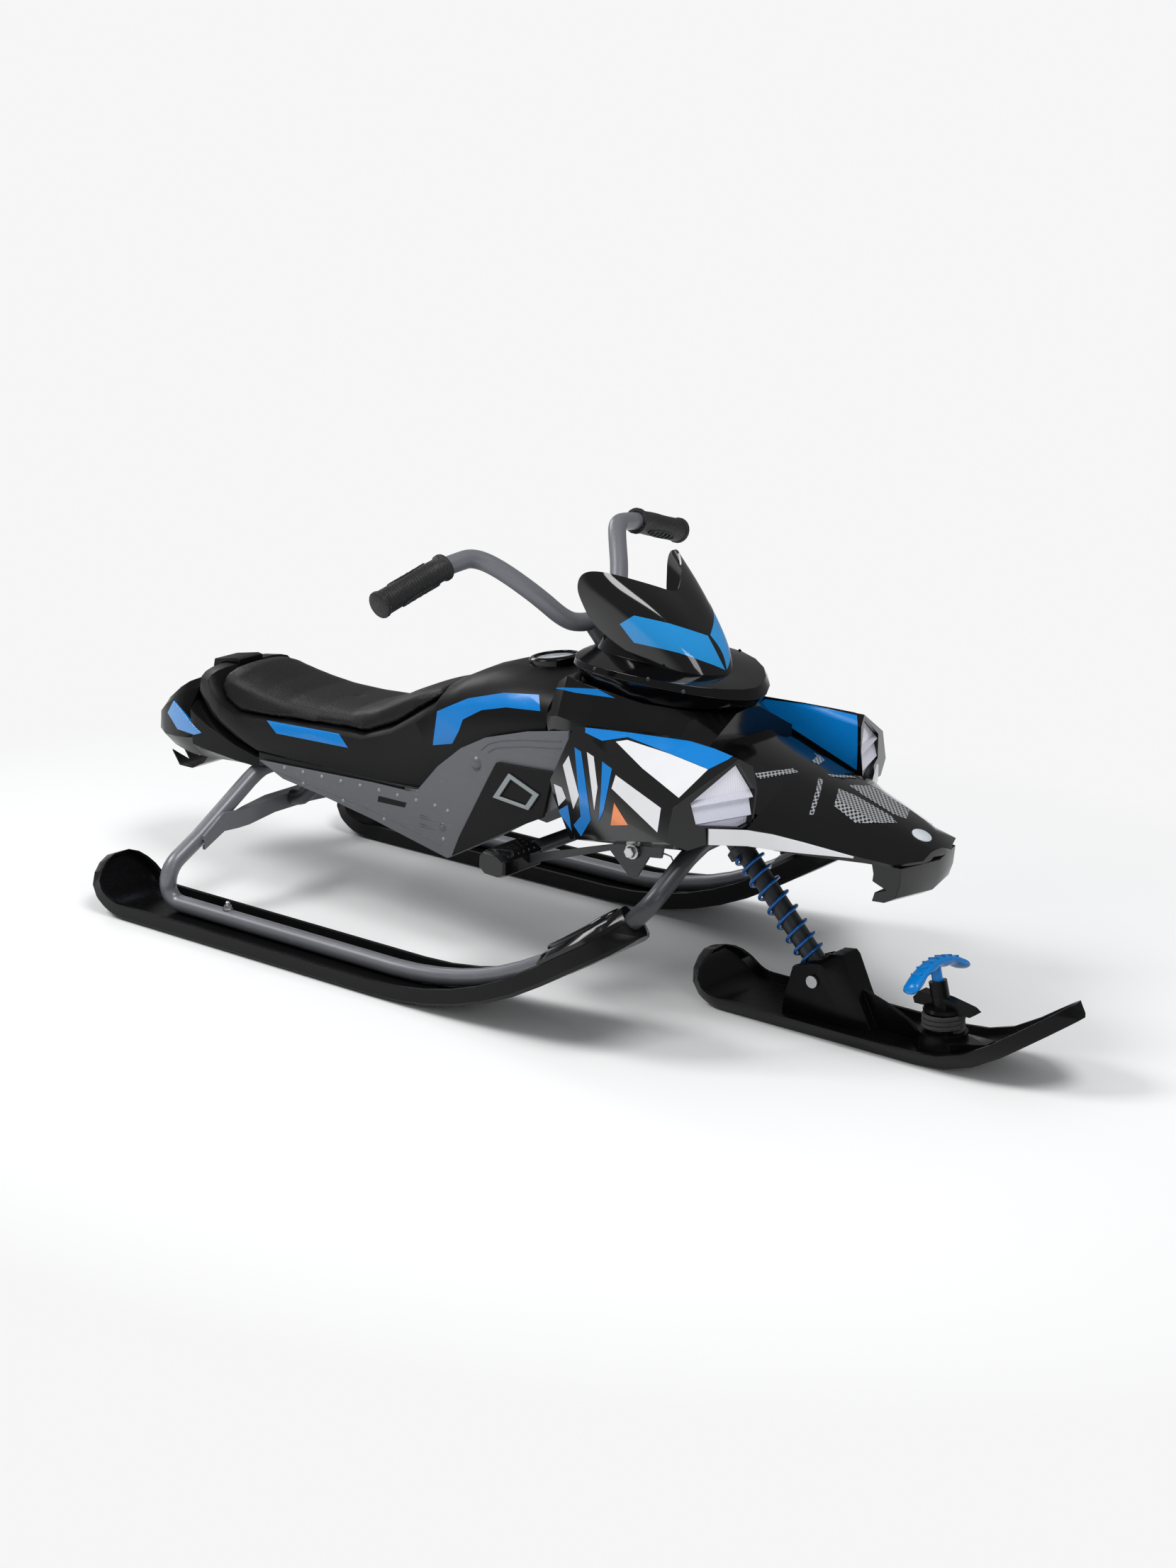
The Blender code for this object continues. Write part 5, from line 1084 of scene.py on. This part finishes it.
@dataclass
class TowHandle(Assembly):
    """The T-handle parked in the cleat post: an arched grip with ribs on top and finger grooves below."""

    foot: Vector = default(plan, 414, 0, 44)
    up: Vector = default(leaning, -0.242, 0.0, 0.970)
    half: float = 0.052
    crown: float = 0.0525
    drop: float = 0.0165              # how much lower the grip's ends lie than its middle
    wide: float = 0.0098
    thick: float = 0.0056
    groove: float = 0.0010
    grooves: int = 4
    blunt: float = 0.45               # how full the grip's very ends are
    taper: float = 9.0                # how fast they fill out
    sections: int = 40
    sides: int = 16
    rib: Triple = (0.0130, 0.0022, 0.0010)
    ribs: int = 3                     # on either side of the middle one
    rib_spacing: float = 0.22         # as a share of the half
    rib_sink: float = 0.0004
    stem: Profile = drum(5.6, 8.8, 52.5)

    def build(self, shop: Workshop) -> None:
        """Makes the grip, its ribs and its stem as one piece.

        Args:
            shop: the workshop.
        """
        ahead = Vector((self.up.z, 0.0, -self.up.x))
        rings = []
        for i in range(self.sections + 1):
            share = -1 + 2 * i / self.sections
            end = min(1.0, self.blunt + (1 - abs(share)) * self.taper)
            ring = []
            for k in range(self.sides):
                angle = 2 * pi * k / self.sides
                rise = self.thick * end * sin(angle)
                if rise < 0:
                    rise += self.groove * cos(share * pi * self.grooves)
                ring.append(self.over(share, rise) + ahead * (self.wide * end * cos(angle)))
            rings.append(ring)
        parts = [lofted(rings)]
        for i in range(-self.ribs, self.ribs + 1):
            at = self.over(i * self.rib_spacing, self.thick - self.rib_sink)
            parts.append(rounded_bar(*self.rib, at, ahead, self.up))
        parts.append(turned(self.stem, self.foot, self.up, 20))
        handle = shop.add("tow_handle_finished", joined(parts), "blue", "tow_handle", 45.0)
        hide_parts("tow_handle")

    def over(self, share: float, rise: float) -> Vector:
        """A point above the arch's middle line, at a share of its half."""
        crown = self.crown - self.drop * share * share
        return self.foot + Side.LEFT.out * (self.half * share) + self.up * (crown + rise)


@dataclass
class Fitting(Assembly):
    """A small fitting that both sides carry."""

    name: str = ""
    finish: str = ""
    body: str = "frame"
    angle: float = 35.0

    def build(self, shop: Workshop) -> None:
        """Makes the fitting of both sides.

        Args:
            shop: the workshop.
        """
        for side in Side:
            whole = joined(self.parts(shop, side))
            shop.add(side.of(self.name), whole, self.finish, self.body, self.angle)

    @abstractmethod
    def parts(self, shop: Workshop, side: Side) -> list[BMesh]:
        """Shapes the fitting of one side.

        Args:
            shop: the workshop, which knows the surfaces.
            side: the side it is for.
        Returns:
            Its parts, one bmesh each.
        """


@dataclass
class Heads(Fitting):
    """Small turned heads, each set where a line from a place meets the piece that carries it."""

    node: str = ""
    paired: bool = True               # whether each side has its own node
    profile: Profile = ()
    steps: int = 12
    places: Corners = ()
    toward: Callable[[Vector], Triple] = lambda place: (0, 0, -1)
    outward: bool = False             # whether the heads face straight out, and not as the surface does
    reach: float = 0.08               # how far from its place a head may find the surface

    def parts(self, shop: Workshop, side: Side) -> list[BMesh]:
        """The heads of one side.

        Args:
            shop: the workshop.
            side: the side it is for.
        Returns:
            The parts, one bmesh each.
        """
        node = side.of(self.node) if self.paired else self.node
        made = []
        for x, y, z in self.places:
            start = plan(x, side.hand * y, z)
            ahead, across, down = self.toward(start)
            line = leaning(ahead, side.hand * across, down)
            place, normal = shop.surface(node, start, line, self.reach)
            made.append(turned(self.profile, place, side.out if self.outward else normal, self.steps))
        return made


PANEL_Y = 88                      # outside the panels, in the drawing's millimetres
# The rivets take the lighter trim grey: partly their own paler metal, partly a painted highlight for the
# glints they catch on the panel.
RIVETS = Heads(
    "panel_rivets", "trim_grey", node="side_panel", outward=True, toward=lambda place: (0, -1, 0),
    profile=((0, 1.2), (1.2, 1.1), (2.1, 0.6), (2.4, 0), (0, -0.5)),
    places=[(-438.5 + 30.2 * i, PANEL_Y, 164 + 0.3 * i) for i in range(9)] + [
        (x, PANEL_Y, z) for x, z in ((-176.8, 164.3), (-184.4, 130), (-408, 151), (-345, 142), (-280, 133))
    ],
)
PEDAL_STUDS = Heads(
    "pedal_studs", "shoe_gloss", "foot_lever", node="foot_pedal", steps=8,
    profile=((0, 1.1), (1, 1), (1.4, 0.5), (1.5, 0), (0, -0.5)),
    places=[
        (x, 101.5 + 8.5 * column + 4.2 * (row % 2), 158)
        for row, x in enumerate((-60, -52, -44, -36.5)) for column in range(7 - row % 2)
    ],
)
POD_SCREWS = Heads(
    "pod_screws", "plate_dark", node="instrument_pod", paired=False,
    profile=((0, 0.4), (0.8, 0.4), (1, 0.9), (1.9, 0.7), (2.1, 0), (0, -0.4)),
    places=((23.4, 109.8, 356), (97.6, 109.4, 356), (145.3, 84.9, 356)),
    toward=lambda place: ((0.06 + PLAN_SHIFT - place.x) * 2, -1, 0),
)


def on_panel(shop: Workshop, side: Side, x: float, z: float) -> Vector:
    """A place on the side's panel, at x and z in the drawing's millimetres."""
    return shop.surface(side.of("side_panel"), plan(x, side.hand * PANEL_Y, z), -side.out)[0]


@dataclass
class PanelBosses(Fitting):
    """A slot between two bars with an eye at its end, and a round boss, on the side panels."""

    name: str = "panel_bosses"
    finish: str = "panel_grey"
    bar: Triple = (0.0400, 0.0012, 0.0006)
    bar_places: tuple[Pair, ...] = ((-202, 139), (-202, 149))
    bar_along: Triple = (1, 0, -0.03)
    eye: Profile = ((0, 1), (2, 1), (2.6, 0.4), (4.4, 0.9), (5.2, 0), (0, -0.4))
    eye_place: Pair = (-185.5, 144)
    boss: Profile = ((0, 3.2), (4.4, 3), (6.6, 1.6), (8.2, 0), (0, -0.5))
    boss_place: Pair = (-131.6, 227.3)

    def parts(self, shop: Workshop, side: Side) -> list[BMesh]:
        """The bars, eye and boss of one side.

        Args:
            shop: the workshop.
            side: the side it is for.
        Returns:
            The parts, one bmesh each.
        """
        along = Vector(self.bar_along)
        made = [rounded_bar(*self.bar, on_panel(shop, side, *at), along, side.out) for at in self.bar_places]
        made.append(turned(self.eye, on_panel(shop, side, *self.eye_place), side.out, 20))
        made.append(turned(self.boss, on_panel(shop, side, *self.boss_place), side.out, 24))
        return made


@dataclass
class PanelRail(Fitting):
    """A raised line on the side panels, through x and z places in the drawing's millimetres."""

    finish: str = "panel_grey"
    places: Sequence[Pair] = ()
    radius: float = 0.0007
    steps: int = 6                    # points along each stretch

    def parts(self, shop: Workshop, side: Side) -> list[BMesh]:
        """The line of one side.

        Args:
            shop: the workshop.
            side: the side it is for.
        Returns:
            The parts, one bmesh each.
        """
        points = []
        for (xa, za), (xb, zb) in zip(self.places, self.places[1:]):
            for share in (i / self.steps for i in range(self.steps)):
                points.append(on_panel(shop, side, xa + (xb - xa) * share, za + (zb - za) * share))
        points.append(on_panel(shop, side, *self.places[-1]))
        return [tube(points, self.radius, 8)]


RAILS = [
    PanelRail(f"panel_rail_{number}", places=places) for number, places in enumerate((
        ((-124, 244), (-113, 253), (-95, 260), (-62, 267), (-10, 274)),
        ((-113, 244), (-100, 251.5), (-62, 259.5), (-10, 266.5)),
        ((-452, 158), (-380, 150), (-300, 140), (-240, 132), (-188, 123)),
    ))
]


@dataclass
class SeatSkirt(Fitting):
    """The seat shell's lower lip, which closes the slit above the panel's straight edge."""

    name: str = "seat_skirt"
    finish: str = "body_black"
    size: Triple = (0.2300, 0.0026, 0.0080)
    place: Triple = (-370, 72.9, 166)
    along: Vector = default(Vector, (1, 0, 0.006))

    def parts(self, shop: Workshop, side: Side) -> list[BMesh]:
        """The lip of one side."""
        x, y, z = self.place
        return [rounded_bar(*self.size, plan(x, side.hand * y, z), self.along, UP)]


@dataclass
class ShoeRim(Fitting):
    """A thick oval rim moulded on top of each shoe, round the end of the hoop."""

    finish: str = "shoe_gloss"
    angle: float = 60.0
    length: float = 0.050
    width: float = 0.0270
    radius: float = 0.0032
    points: int = 60
    lift: float = 0.03
    reach: float = 0.05
    stand: float = 0.0004

    def parts(self, shop: Workshop, side: Side) -> list[BMesh]:
        """The rim of one shoe.

        Args:
            shop: the workshop.
            side: the side it is for.
        Returns:
            The parts, one bmesh each.
        """
        node = side.of("ski_shoe")
        low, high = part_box(node)
        ahead = leaning(high.x - low.x, 0.0, high.z - low.z)
        out = Vector((-ahead.z, 0.0, ahead.x))
        loop = []
        for i in range(self.points + 1):
            angle = 2 * pi * i / self.points
            oval = ahead * (self.length * cos(angle)) + Side.LEFT.out * (self.width * sin(angle))
            place, _ = shop.surface(node, (low + high) / 2 + oval + out * self.lift, -out, self.reach)
            loop.append(place + out * self.stand)
        return [tube(loop, self.radius, 12)]


RIMS = [ShoeRim("shoe_rim_0"), ShoeRim("shoe_rim_1", length=0.036, width=0.0165, radius=0.0014)]


@dataclass
class RunnerNut(Fitting):
    """The bolt that holds the runner tube down to its ski: washer, hexagon and thread."""

    name: str = "runner_nut"
    finish: str = "zinc"
    place: Triple = (-410, 203, 30)
    stack: tuple[tuple[Profile, int], ...] = (
        (drum(5.8, 0, 1.4), 20),
        (drum(4.6, 1.4, 5.2), 6),
        (((0, 5.2), (2.5, 5.2), (2.5, 9), (1.8, 9.8), (0, 9.8)), 14),
    )

    def parts(self, shop: Workshop, side: Side) -> list[BMesh]:
        """The bolt of one side."""
        x, y, z = self.place
        return [turned(profile, plan(x, side.hand * y, z), UP, steps) for profile, steps in self.stack]


@dataclass
class SkiRack(Fitting):
    """The toothed strip beside the tube where it enters its shoe."""

    name: str = "ski_rack"
    finish: str = "ski_black"
    teeth: int = 20
    start: Triple = (-55, 221.5, 100)
    run: float = 98
    tooth: Triple = (0.0022, 0.0060, 0.0024)
    reach: float = 0.12

    def parts(self, shop: Workshop, side: Side) -> list[BMesh]:
        """The teeth of one side.

        Args:
            shop: the workshop.
            side: the side it is for.
        Returns:
            The parts, one bmesh each.
        """
        x, y, z = self.start
        made = []
        for i in range(self.teeth):
            above = plan(x + self.run * i / (self.teeth - 1), side.hand * y, z)
            place, normal = shop.surface(side.of("rear_ski"), above, -UP, self.reach)
            made.append(rounded_bar(*self.tooth, place, leaning(normal.z, 0.0, -normal.x), normal))
        return made


@dataclass
class ClawNut(Fitting):
    """The hexagon on the claw's bolt."""

    name: str = "claw_hexagon"
    finish: str = "zinc"
    body: str = "foot_lever"
    angle: float = 20.0
    hexagon: Profile = drum(6.2, 0, 4.6)
    place: Pair = (109, 184)
    seat: float = 0.0050              # how far inside the bolt's end the hexagon starts

    def parts(self, shop: Workshop, side: Side) -> list[BMesh]:
        """The hexagon of one side.

        Args:
            shop: the workshop; not used.
            side: the side it is for.
        Returns:
            The parts, one bmesh each.
        """
        low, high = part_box(side.of("pivot_bolt"))
        foot = plan(self.place[0], 0, self.place[1])
        foot.y = (high if side.hand > 0 else low).y - side.hand * self.seat
        return [turned(self.hexagon, foot, side.out, 6)]


@dataclass
class GripRelief(Fitting):
    """An oval ring round a field of studs, on the upper and the lower face of each grip."""

    name: str = "grip_relief"
    finish: str = "grip_rubber"
    body: str = "steering"
    angle: float = 45.0
    start: Vector = default(plan, -111, 160, 459)
    end: Vector = default(plan, -119, 250, 433)
    lean: Vector = default(Vector, (0.2, 0.0, 1.0))
    turn: float = -0.9
    ring: Triple = (0.045, 0.026, 0.42)       # middle and half run along, half swing
    ring_radius: float = 0.01345
    ring_wire: float = 0.0010
    points: int = 48
    stud: Profile = ((0, 1.1), (1.4, 0.9), (1.9, 0), (0, -0.4))
    stud_radius: float = 0.0134
    studs: int = 5                    # in each of three rows along the grip
    first: float = 0.028
    pitch: float = 0.0085
    swing: float = 0.20

    def parts(self, shop: Workshop, side: Side) -> list[BMesh]:
        """The relief of one grip.

        Args:
            shop: the workshop; not used.
            side: the side it is for.
        Returns:
            The parts, one bmesh each.
        """
        axis = (self.end - self.start).normalized()
        up = (self.lean - axis * self.lean.dot(axis)).normalized()
        ahead = axis.cross(up)

        def place(along: float, swing: float, radius: float) -> tuple[Vector, Vector]:
            """A place along and round the grip, and the direction out from there."""
            out = up * cos(swing + self.turn) + ahead * sin(swing + self.turn)
            return self.start + axis * along + out * radius, out

        middle, half, wide = self.ring
        made = []
        for face in (0, pi):
            angles = [2 * pi * i / self.points for i in range(self.points + 1)]
            loop = [place(middle + half * cos(a), face + wide * sin(a), self.ring_radius)[0] for a in angles]
            made.append(tube(loop, self.ring_wire, 8))
            for i in range(self.studs):
                for k in (-1, 0, 1):
                    at = place(self.first + self.pitch * i, face + self.swing * k, self.stud_radius)
                    made.append(turned(self.stud, *at, 8))
        for part in made:
            bmesh.ops.transform(part, matrix=Matrix.Diagonal((1, side.hand, 1, 1)), verts=part.verts)
            bmesh.ops.recalc_face_normals(part, faces=part.faces)
        return made


@dataclass
class Windshield(Assembly):
    """A smooth raked screen whose two ears stand out on either side of a notch."""

    # from the foot up; each from the middle outward
    rows: tuple[Corners, ...] = (
        ((140, 0, 349), (135, 20, 349), (115, 40, 351), (65, 56, 365), (6, 60, 395)),
        ((131, 0, 373), (126, 20, 374), (108, 40, 379), (56, 60, 390), (-3, 62, 412)),
        ((111, 0, 392), (106, 20, 397), (90, 40, 406), (44, 64, 416), (-10, 64, 426)),
        ((90, 0, 414), (85, 18, 419), (70, 37, 429), (33, 64, 436), (-12, 64, 436)),
        ((71, 0, 429), (64, 15, 436), (48, 36, 445), (16, 62, 456), (-7, 63, 450)),
    )
    swing: float = 0.019              # how far the ears' rear edges stand out
    shares: tuple[float, ...] = (0.0, 0.0, 0.10, 0.50, 1.0)      # of the swing, from the middle outward
    lifts: tuple[float, ...] = (0.3, 0.6, 0.9, 1.0, 1.0)         # of the swing, from the foot up
    wall: float = 0.0024

    def build(self, shop: Workshop) -> None:
        """Makes the screen and keeps its mesh for the films.

        Args:
            shop: the workshop.
        """
        out = -sight(Side.LEFT)
        bm = bmesh.new()
        grid = []
        for row, lift in zip(self.rows, self.lifts):
            swings = [out * (self.swing * lift * share) for share in self.shares]
            near = [plan(*point) + swing for point, swing in zip(row, swings)]
            far = [mirrored(point) for point in reversed(near[1:])]
            grid.append([bm.verts.new(point) for point in [*far, *near]])
        for low, high in zip(grid, grid[1:]):
            for i in range(len(low) - 1):
                bm.faces.new((low[i], low[i + 1], high[i + 1], high[i]))
        bmesh.ops.recalc_face_normals(bm, faces=bm.faces)
        if sum(face.normal.x * face.calc_area() for face in bm.faces) < 0:
            bmesh.ops.reverse_faces(bm, faces=bm.faces)
        sheet = placed("screen_grid", as_mesh("screen_grid", bm))
        modified(sheet, "SUBSURF", levels=3, render_levels=3)
        modified(sheet, "SOLIDIFY", thickness=self.wall, offset=-1.0)
        screen = shop.add("windshield_finished", applied(sheet), "screen", "frame", 50.0)
        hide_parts("windshield")
        shop.dressed["windshield"] = screen.data


@dataclass
class Graphics(Assembly):
    """Plain stripes and fields in the sled's colours, printed on thin film.

    Each film has its finish and its corners in the drawing's millimetres, for the right side; the left
    side mirrors them. The first word of its name says what it lies on.
    """

    carriers: dict[str, str] = field(default_factory=lambda: {
        "nose": "nose_cowl", "screen": "windshield", "seat": "seat_shell", "arch": "seat_shell",
        "cowl": "cowl_core",
    })
    paired: dict[str, str] = field(default_factory=lambda: {"fender": "fender", "panel": "side_panel"})
    across: tuple[str, ...] = ("fender_inner",)      # films seen from across the sled
    films: dict[str, tuple[str, Corners]] = field(default_factory=lambda: {
        "fender_band": ("blue", (
            (28, -99, 297), (85, -97, 301), (164, -98, 306), (225, -105, 304), (224, -114, 301),
            (211, -129, 292), (155, -119, 296), (90, -106, 299), (63, -114, 292), (34, -106, 294),
        )),
        "fender_field": ("white", (
            (80, -113, 294), (92, -109, 297), (155, -120, 296), (211, -130, 292), (206, -171, 271),
            (138, -143, 283),
        )),
        "fender_plate": ("white", ((105, -144, 270), (191, -180, 260), (193, -188, 237), (102, -147, 256))),
        "fender_stripe_a": ("white", ((7, -110, 255), (15, -110, 267), (46, -131, 234), (36, -128, 217))),
        "fender_stripe_b": ("blue", (
            (22, -109, 277), (36, -115, 276), (70, -141, 215), (48, -130, 190), (33, -124, 198),
            (50, -133, 213),
        )),
        "fender_stripe_c": ("white", ((46, -118, 278), (60, -124, 277), (78, -140, 251), (77, -144, 227))),
        "fender_stripe_d": ("blue", (
            (76, -130, 276), (96, -139, 274), (95, -151, 232), (84, -146, 216), (85, -143, 249),
        )),
        "fender_wedge": ("orange", ((111, -154, 244), (141, -169, 230), (108, -156, 220))),
        "fender_corner": ("blue", ((4, -115, 206), (26, -125, 219), (29, -122, 190))),
        "fender_edge": ("white", ((-2, -114, 234), (13, -119, 234), (22, -123, 225), (7, -117, 212))),
        "nose_patch": ("perforated", (
            (285, -8, 258), (304, -4, 253), (345, -3, 240), (357, -9, 236), (329, -41, 238), (300, -38, 250),
        )),
        "nose_strip_a": ("perforated", ((260, -8, 265), (265, -7, 263), (289, -58, 242), (285, -59, 243))),
        "nose_strip_b": ("perforated", ((211, -50, 270), (234, -17, 272), (243, -18, 270), (218, -54, 266))),
        "screen_band": ("screen_blue", (
            (44, -62, 403), (58, -56, 413), (90, -37, 406), (113, -2, 390), (136, -2, 357), (131, -15, 364),
            (106, -41, 378), (86, -48, 381), (60, -58, 385), (54, -60, 392),
        )),
        "seat_stripe": ("blue", ((-470, -75, 215), (-353, -75, 219), (-339, -75, 205), (-454, -75, 202))),
        "arch_stripe": ("blue", (
            (-197, -80, 273), (-152, -80, 295), (-100, -80, 310), (-51, -80, 316), (-49, -80, 298),
            (-97, -80, 294), (-132, -80, 285), (-159, -80, 270), (-165, -80, 256), (-175, -80, 240),
            (-204, -80, 233),
        )),
        "cowl_stripe": ("blue", ((-30, -85, 329), (33, -85, 337), (57, -85, 331), (4, -85, 328))),
        "panel_plate": ("tail_black", (
            (-288, -80, 159), (-245, -80, 159), (-248, -80, 153), (-290, -80, 152),
        )),
        "fender_inner": ("blue", (
            (108, -94, 295), (118, -96, 303), (175, -98, 306), (230, -105, 302), (238, -95, 246),
        )),
    })

    def build(self, shop: Workshop) -> None:
        """Lays the films of both sides, each pressed on along the camera's line of sight.

        Args:
            shop: the workshop.
        """
        for side in Side:
            for name, (finish, corners) in self.films.items():
                word = name.split("_")[0]
                node = side.of(self.paired[word]) if word in self.paired else self.carriers[word]
                toward = mirrored(sight(side)) if name in self.across else sight(side)
                outline = [plan(x, -side.hand * y, z) for x, y, z in corners]
                shop.film(side.of(name), node, outline[::-side.hand], finish, toward)


# Studio


@dataclass
class Lamp:
    """A square soft light aimed at the sled."""

    name: str
    place: Triple
    size: float
    power: float
    aim: Triple = (0.05, 0.0, 0.15)

    def build(self) -> None:
        """Hangs the light."""
        data = bpy.data.lights.new(self.name, "AREA")
        data.shape = "SQUARE"
        data.size = self.size
        data.energy = self.power
        lamp = placed(self.name, data)
        lamp.location = self.place
        line = Vector(self.aim) - Vector(self.place)
        lamp.rotation_euler = line.to_track_quat("-Z", "Y").to_euler()


@dataclass
class Studio:
    """White sweep, soft light and the camera that took the picture."""

    image_height: float = 2212.0
    focal_pixels: float = 4000.0
    sensor: float = 36.0
    place: Vector = default(plan, 1829.01, -2302.67, 1073.61)
    far: float = 100.0                # how far the camera sees
    floor_radius: float = 14.0
    floor_drop: float = 0.0002        # how far below the skis the floor lies
    glow: float = 0.42                # of the even light around the sled
    mirrored_glow: float = 0.30       # of the same light where glossy surfaces show it
    lamps: tuple[Lamp, ...] = (
        Lamp("key", (-1.9, -1.7, 3.0), 1.3, 70.0),
        Lamp("front", (1.25, -0.55, 2.9), 1.1, 40.0),
        Lamp("fill", (2.7, -1.6, 1.3), 0.7, 8.0),
        Lamp("rim", (-2.8, 0.9, 1.6), 1.0, 12.0),
    )

    def build(self, library: Library) -> None:
        """Sets up the camera, the floor, the world and the lights.

        Args:
            library: the materials.
        """
        self.camera()
        self.floor(library)
        self.world()
        for lamp in self.lamps:
            lamp.build()
        bpy.context.scene.view_settings.view_transform = "Standard"

    def camera(self) -> None:
        """The camera at the photograph's view."""
        data = bpy.data.cameras.new("camera")
        data.sensor_fit = "VERTICAL"
        data.sensor_height = self.sensor
        data.lens = self.sensor * self.focal_pixels / self.image_height
        data.clip_end = self.far
        camera = placed("camera", data)
        camera.location = self.place
        camera.rotation_euler = (radians(90 - CAMERA_ELEVATION), 0.0, radians(CAMERA_AZIMUTH))
        bpy.context.scene.camera = camera

    def floor(self, library: Library) -> None:
        """A wide round floor a hair below the skis.

        Args:
            library: the materials.
        """
        bm = bmesh.new()
        bmesh.ops.create_circle(bm, cap_ends=True, radius=self.floor_radius, segments=96)
        floor = placed("floor", as_mesh("floor", bm))
        floor.data.materials.append(library.get("floor"))
        floor.location.z = -self.floor_drop

    def world(self) -> None:
        """White where the camera looks past the floor, and a soft even light elsewhere."""
        world = bpy.data.worlds.new("studio")
        bpy.context.scene.world = world
        graph = Graph(world)
        glossy, clear, seen = (
            graph.value("ShaderNodeLightPath", f"Is {ray} Ray")
            for ray in ("Glossy", "Transmission", "Camera")
        )
        backdrop = graph.value("ShaderNodeBackground", 0, Color=BACKDROP)
        around = graph.value("ShaderNodeBackground", 0, Color=(0.96, 0.98, 1.0, 1.0), Strength=self.glow)
        reflected = graph.value("ShaderNodeBackground", 0, Strength=self.mirrored_glow)
        light = graph.mixed(glossy.at_least(clear), around, reflected)
        graph.close(graph.mixed(seen, light, backdrop), "ShaderNodeOutputWorld")


def main() -> None:
    """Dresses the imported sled, one sub-assembly after another."""
    logging.basicConfig(level=logging.INFO)
    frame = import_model()
    library = Library()
    Studio().build(library)
    shop = Workshop(frame, library)
    for assembly in (
        Cushion(), TowRope(), CoilSpring(), Hardware(), Handlebar(), TowHandle(), RIVETS, PanelBosses(),
        *RAILS, SeatSkirt(), PEDAL_STUDS, POD_SCREWS, *RIMS, RunnerNut(), SkiRack(), ClawNut(),
        GripRelief(), Windshield(), Graphics(),
    ):
        assembly.build(shop)


if __name__ == "__main__":
    main()
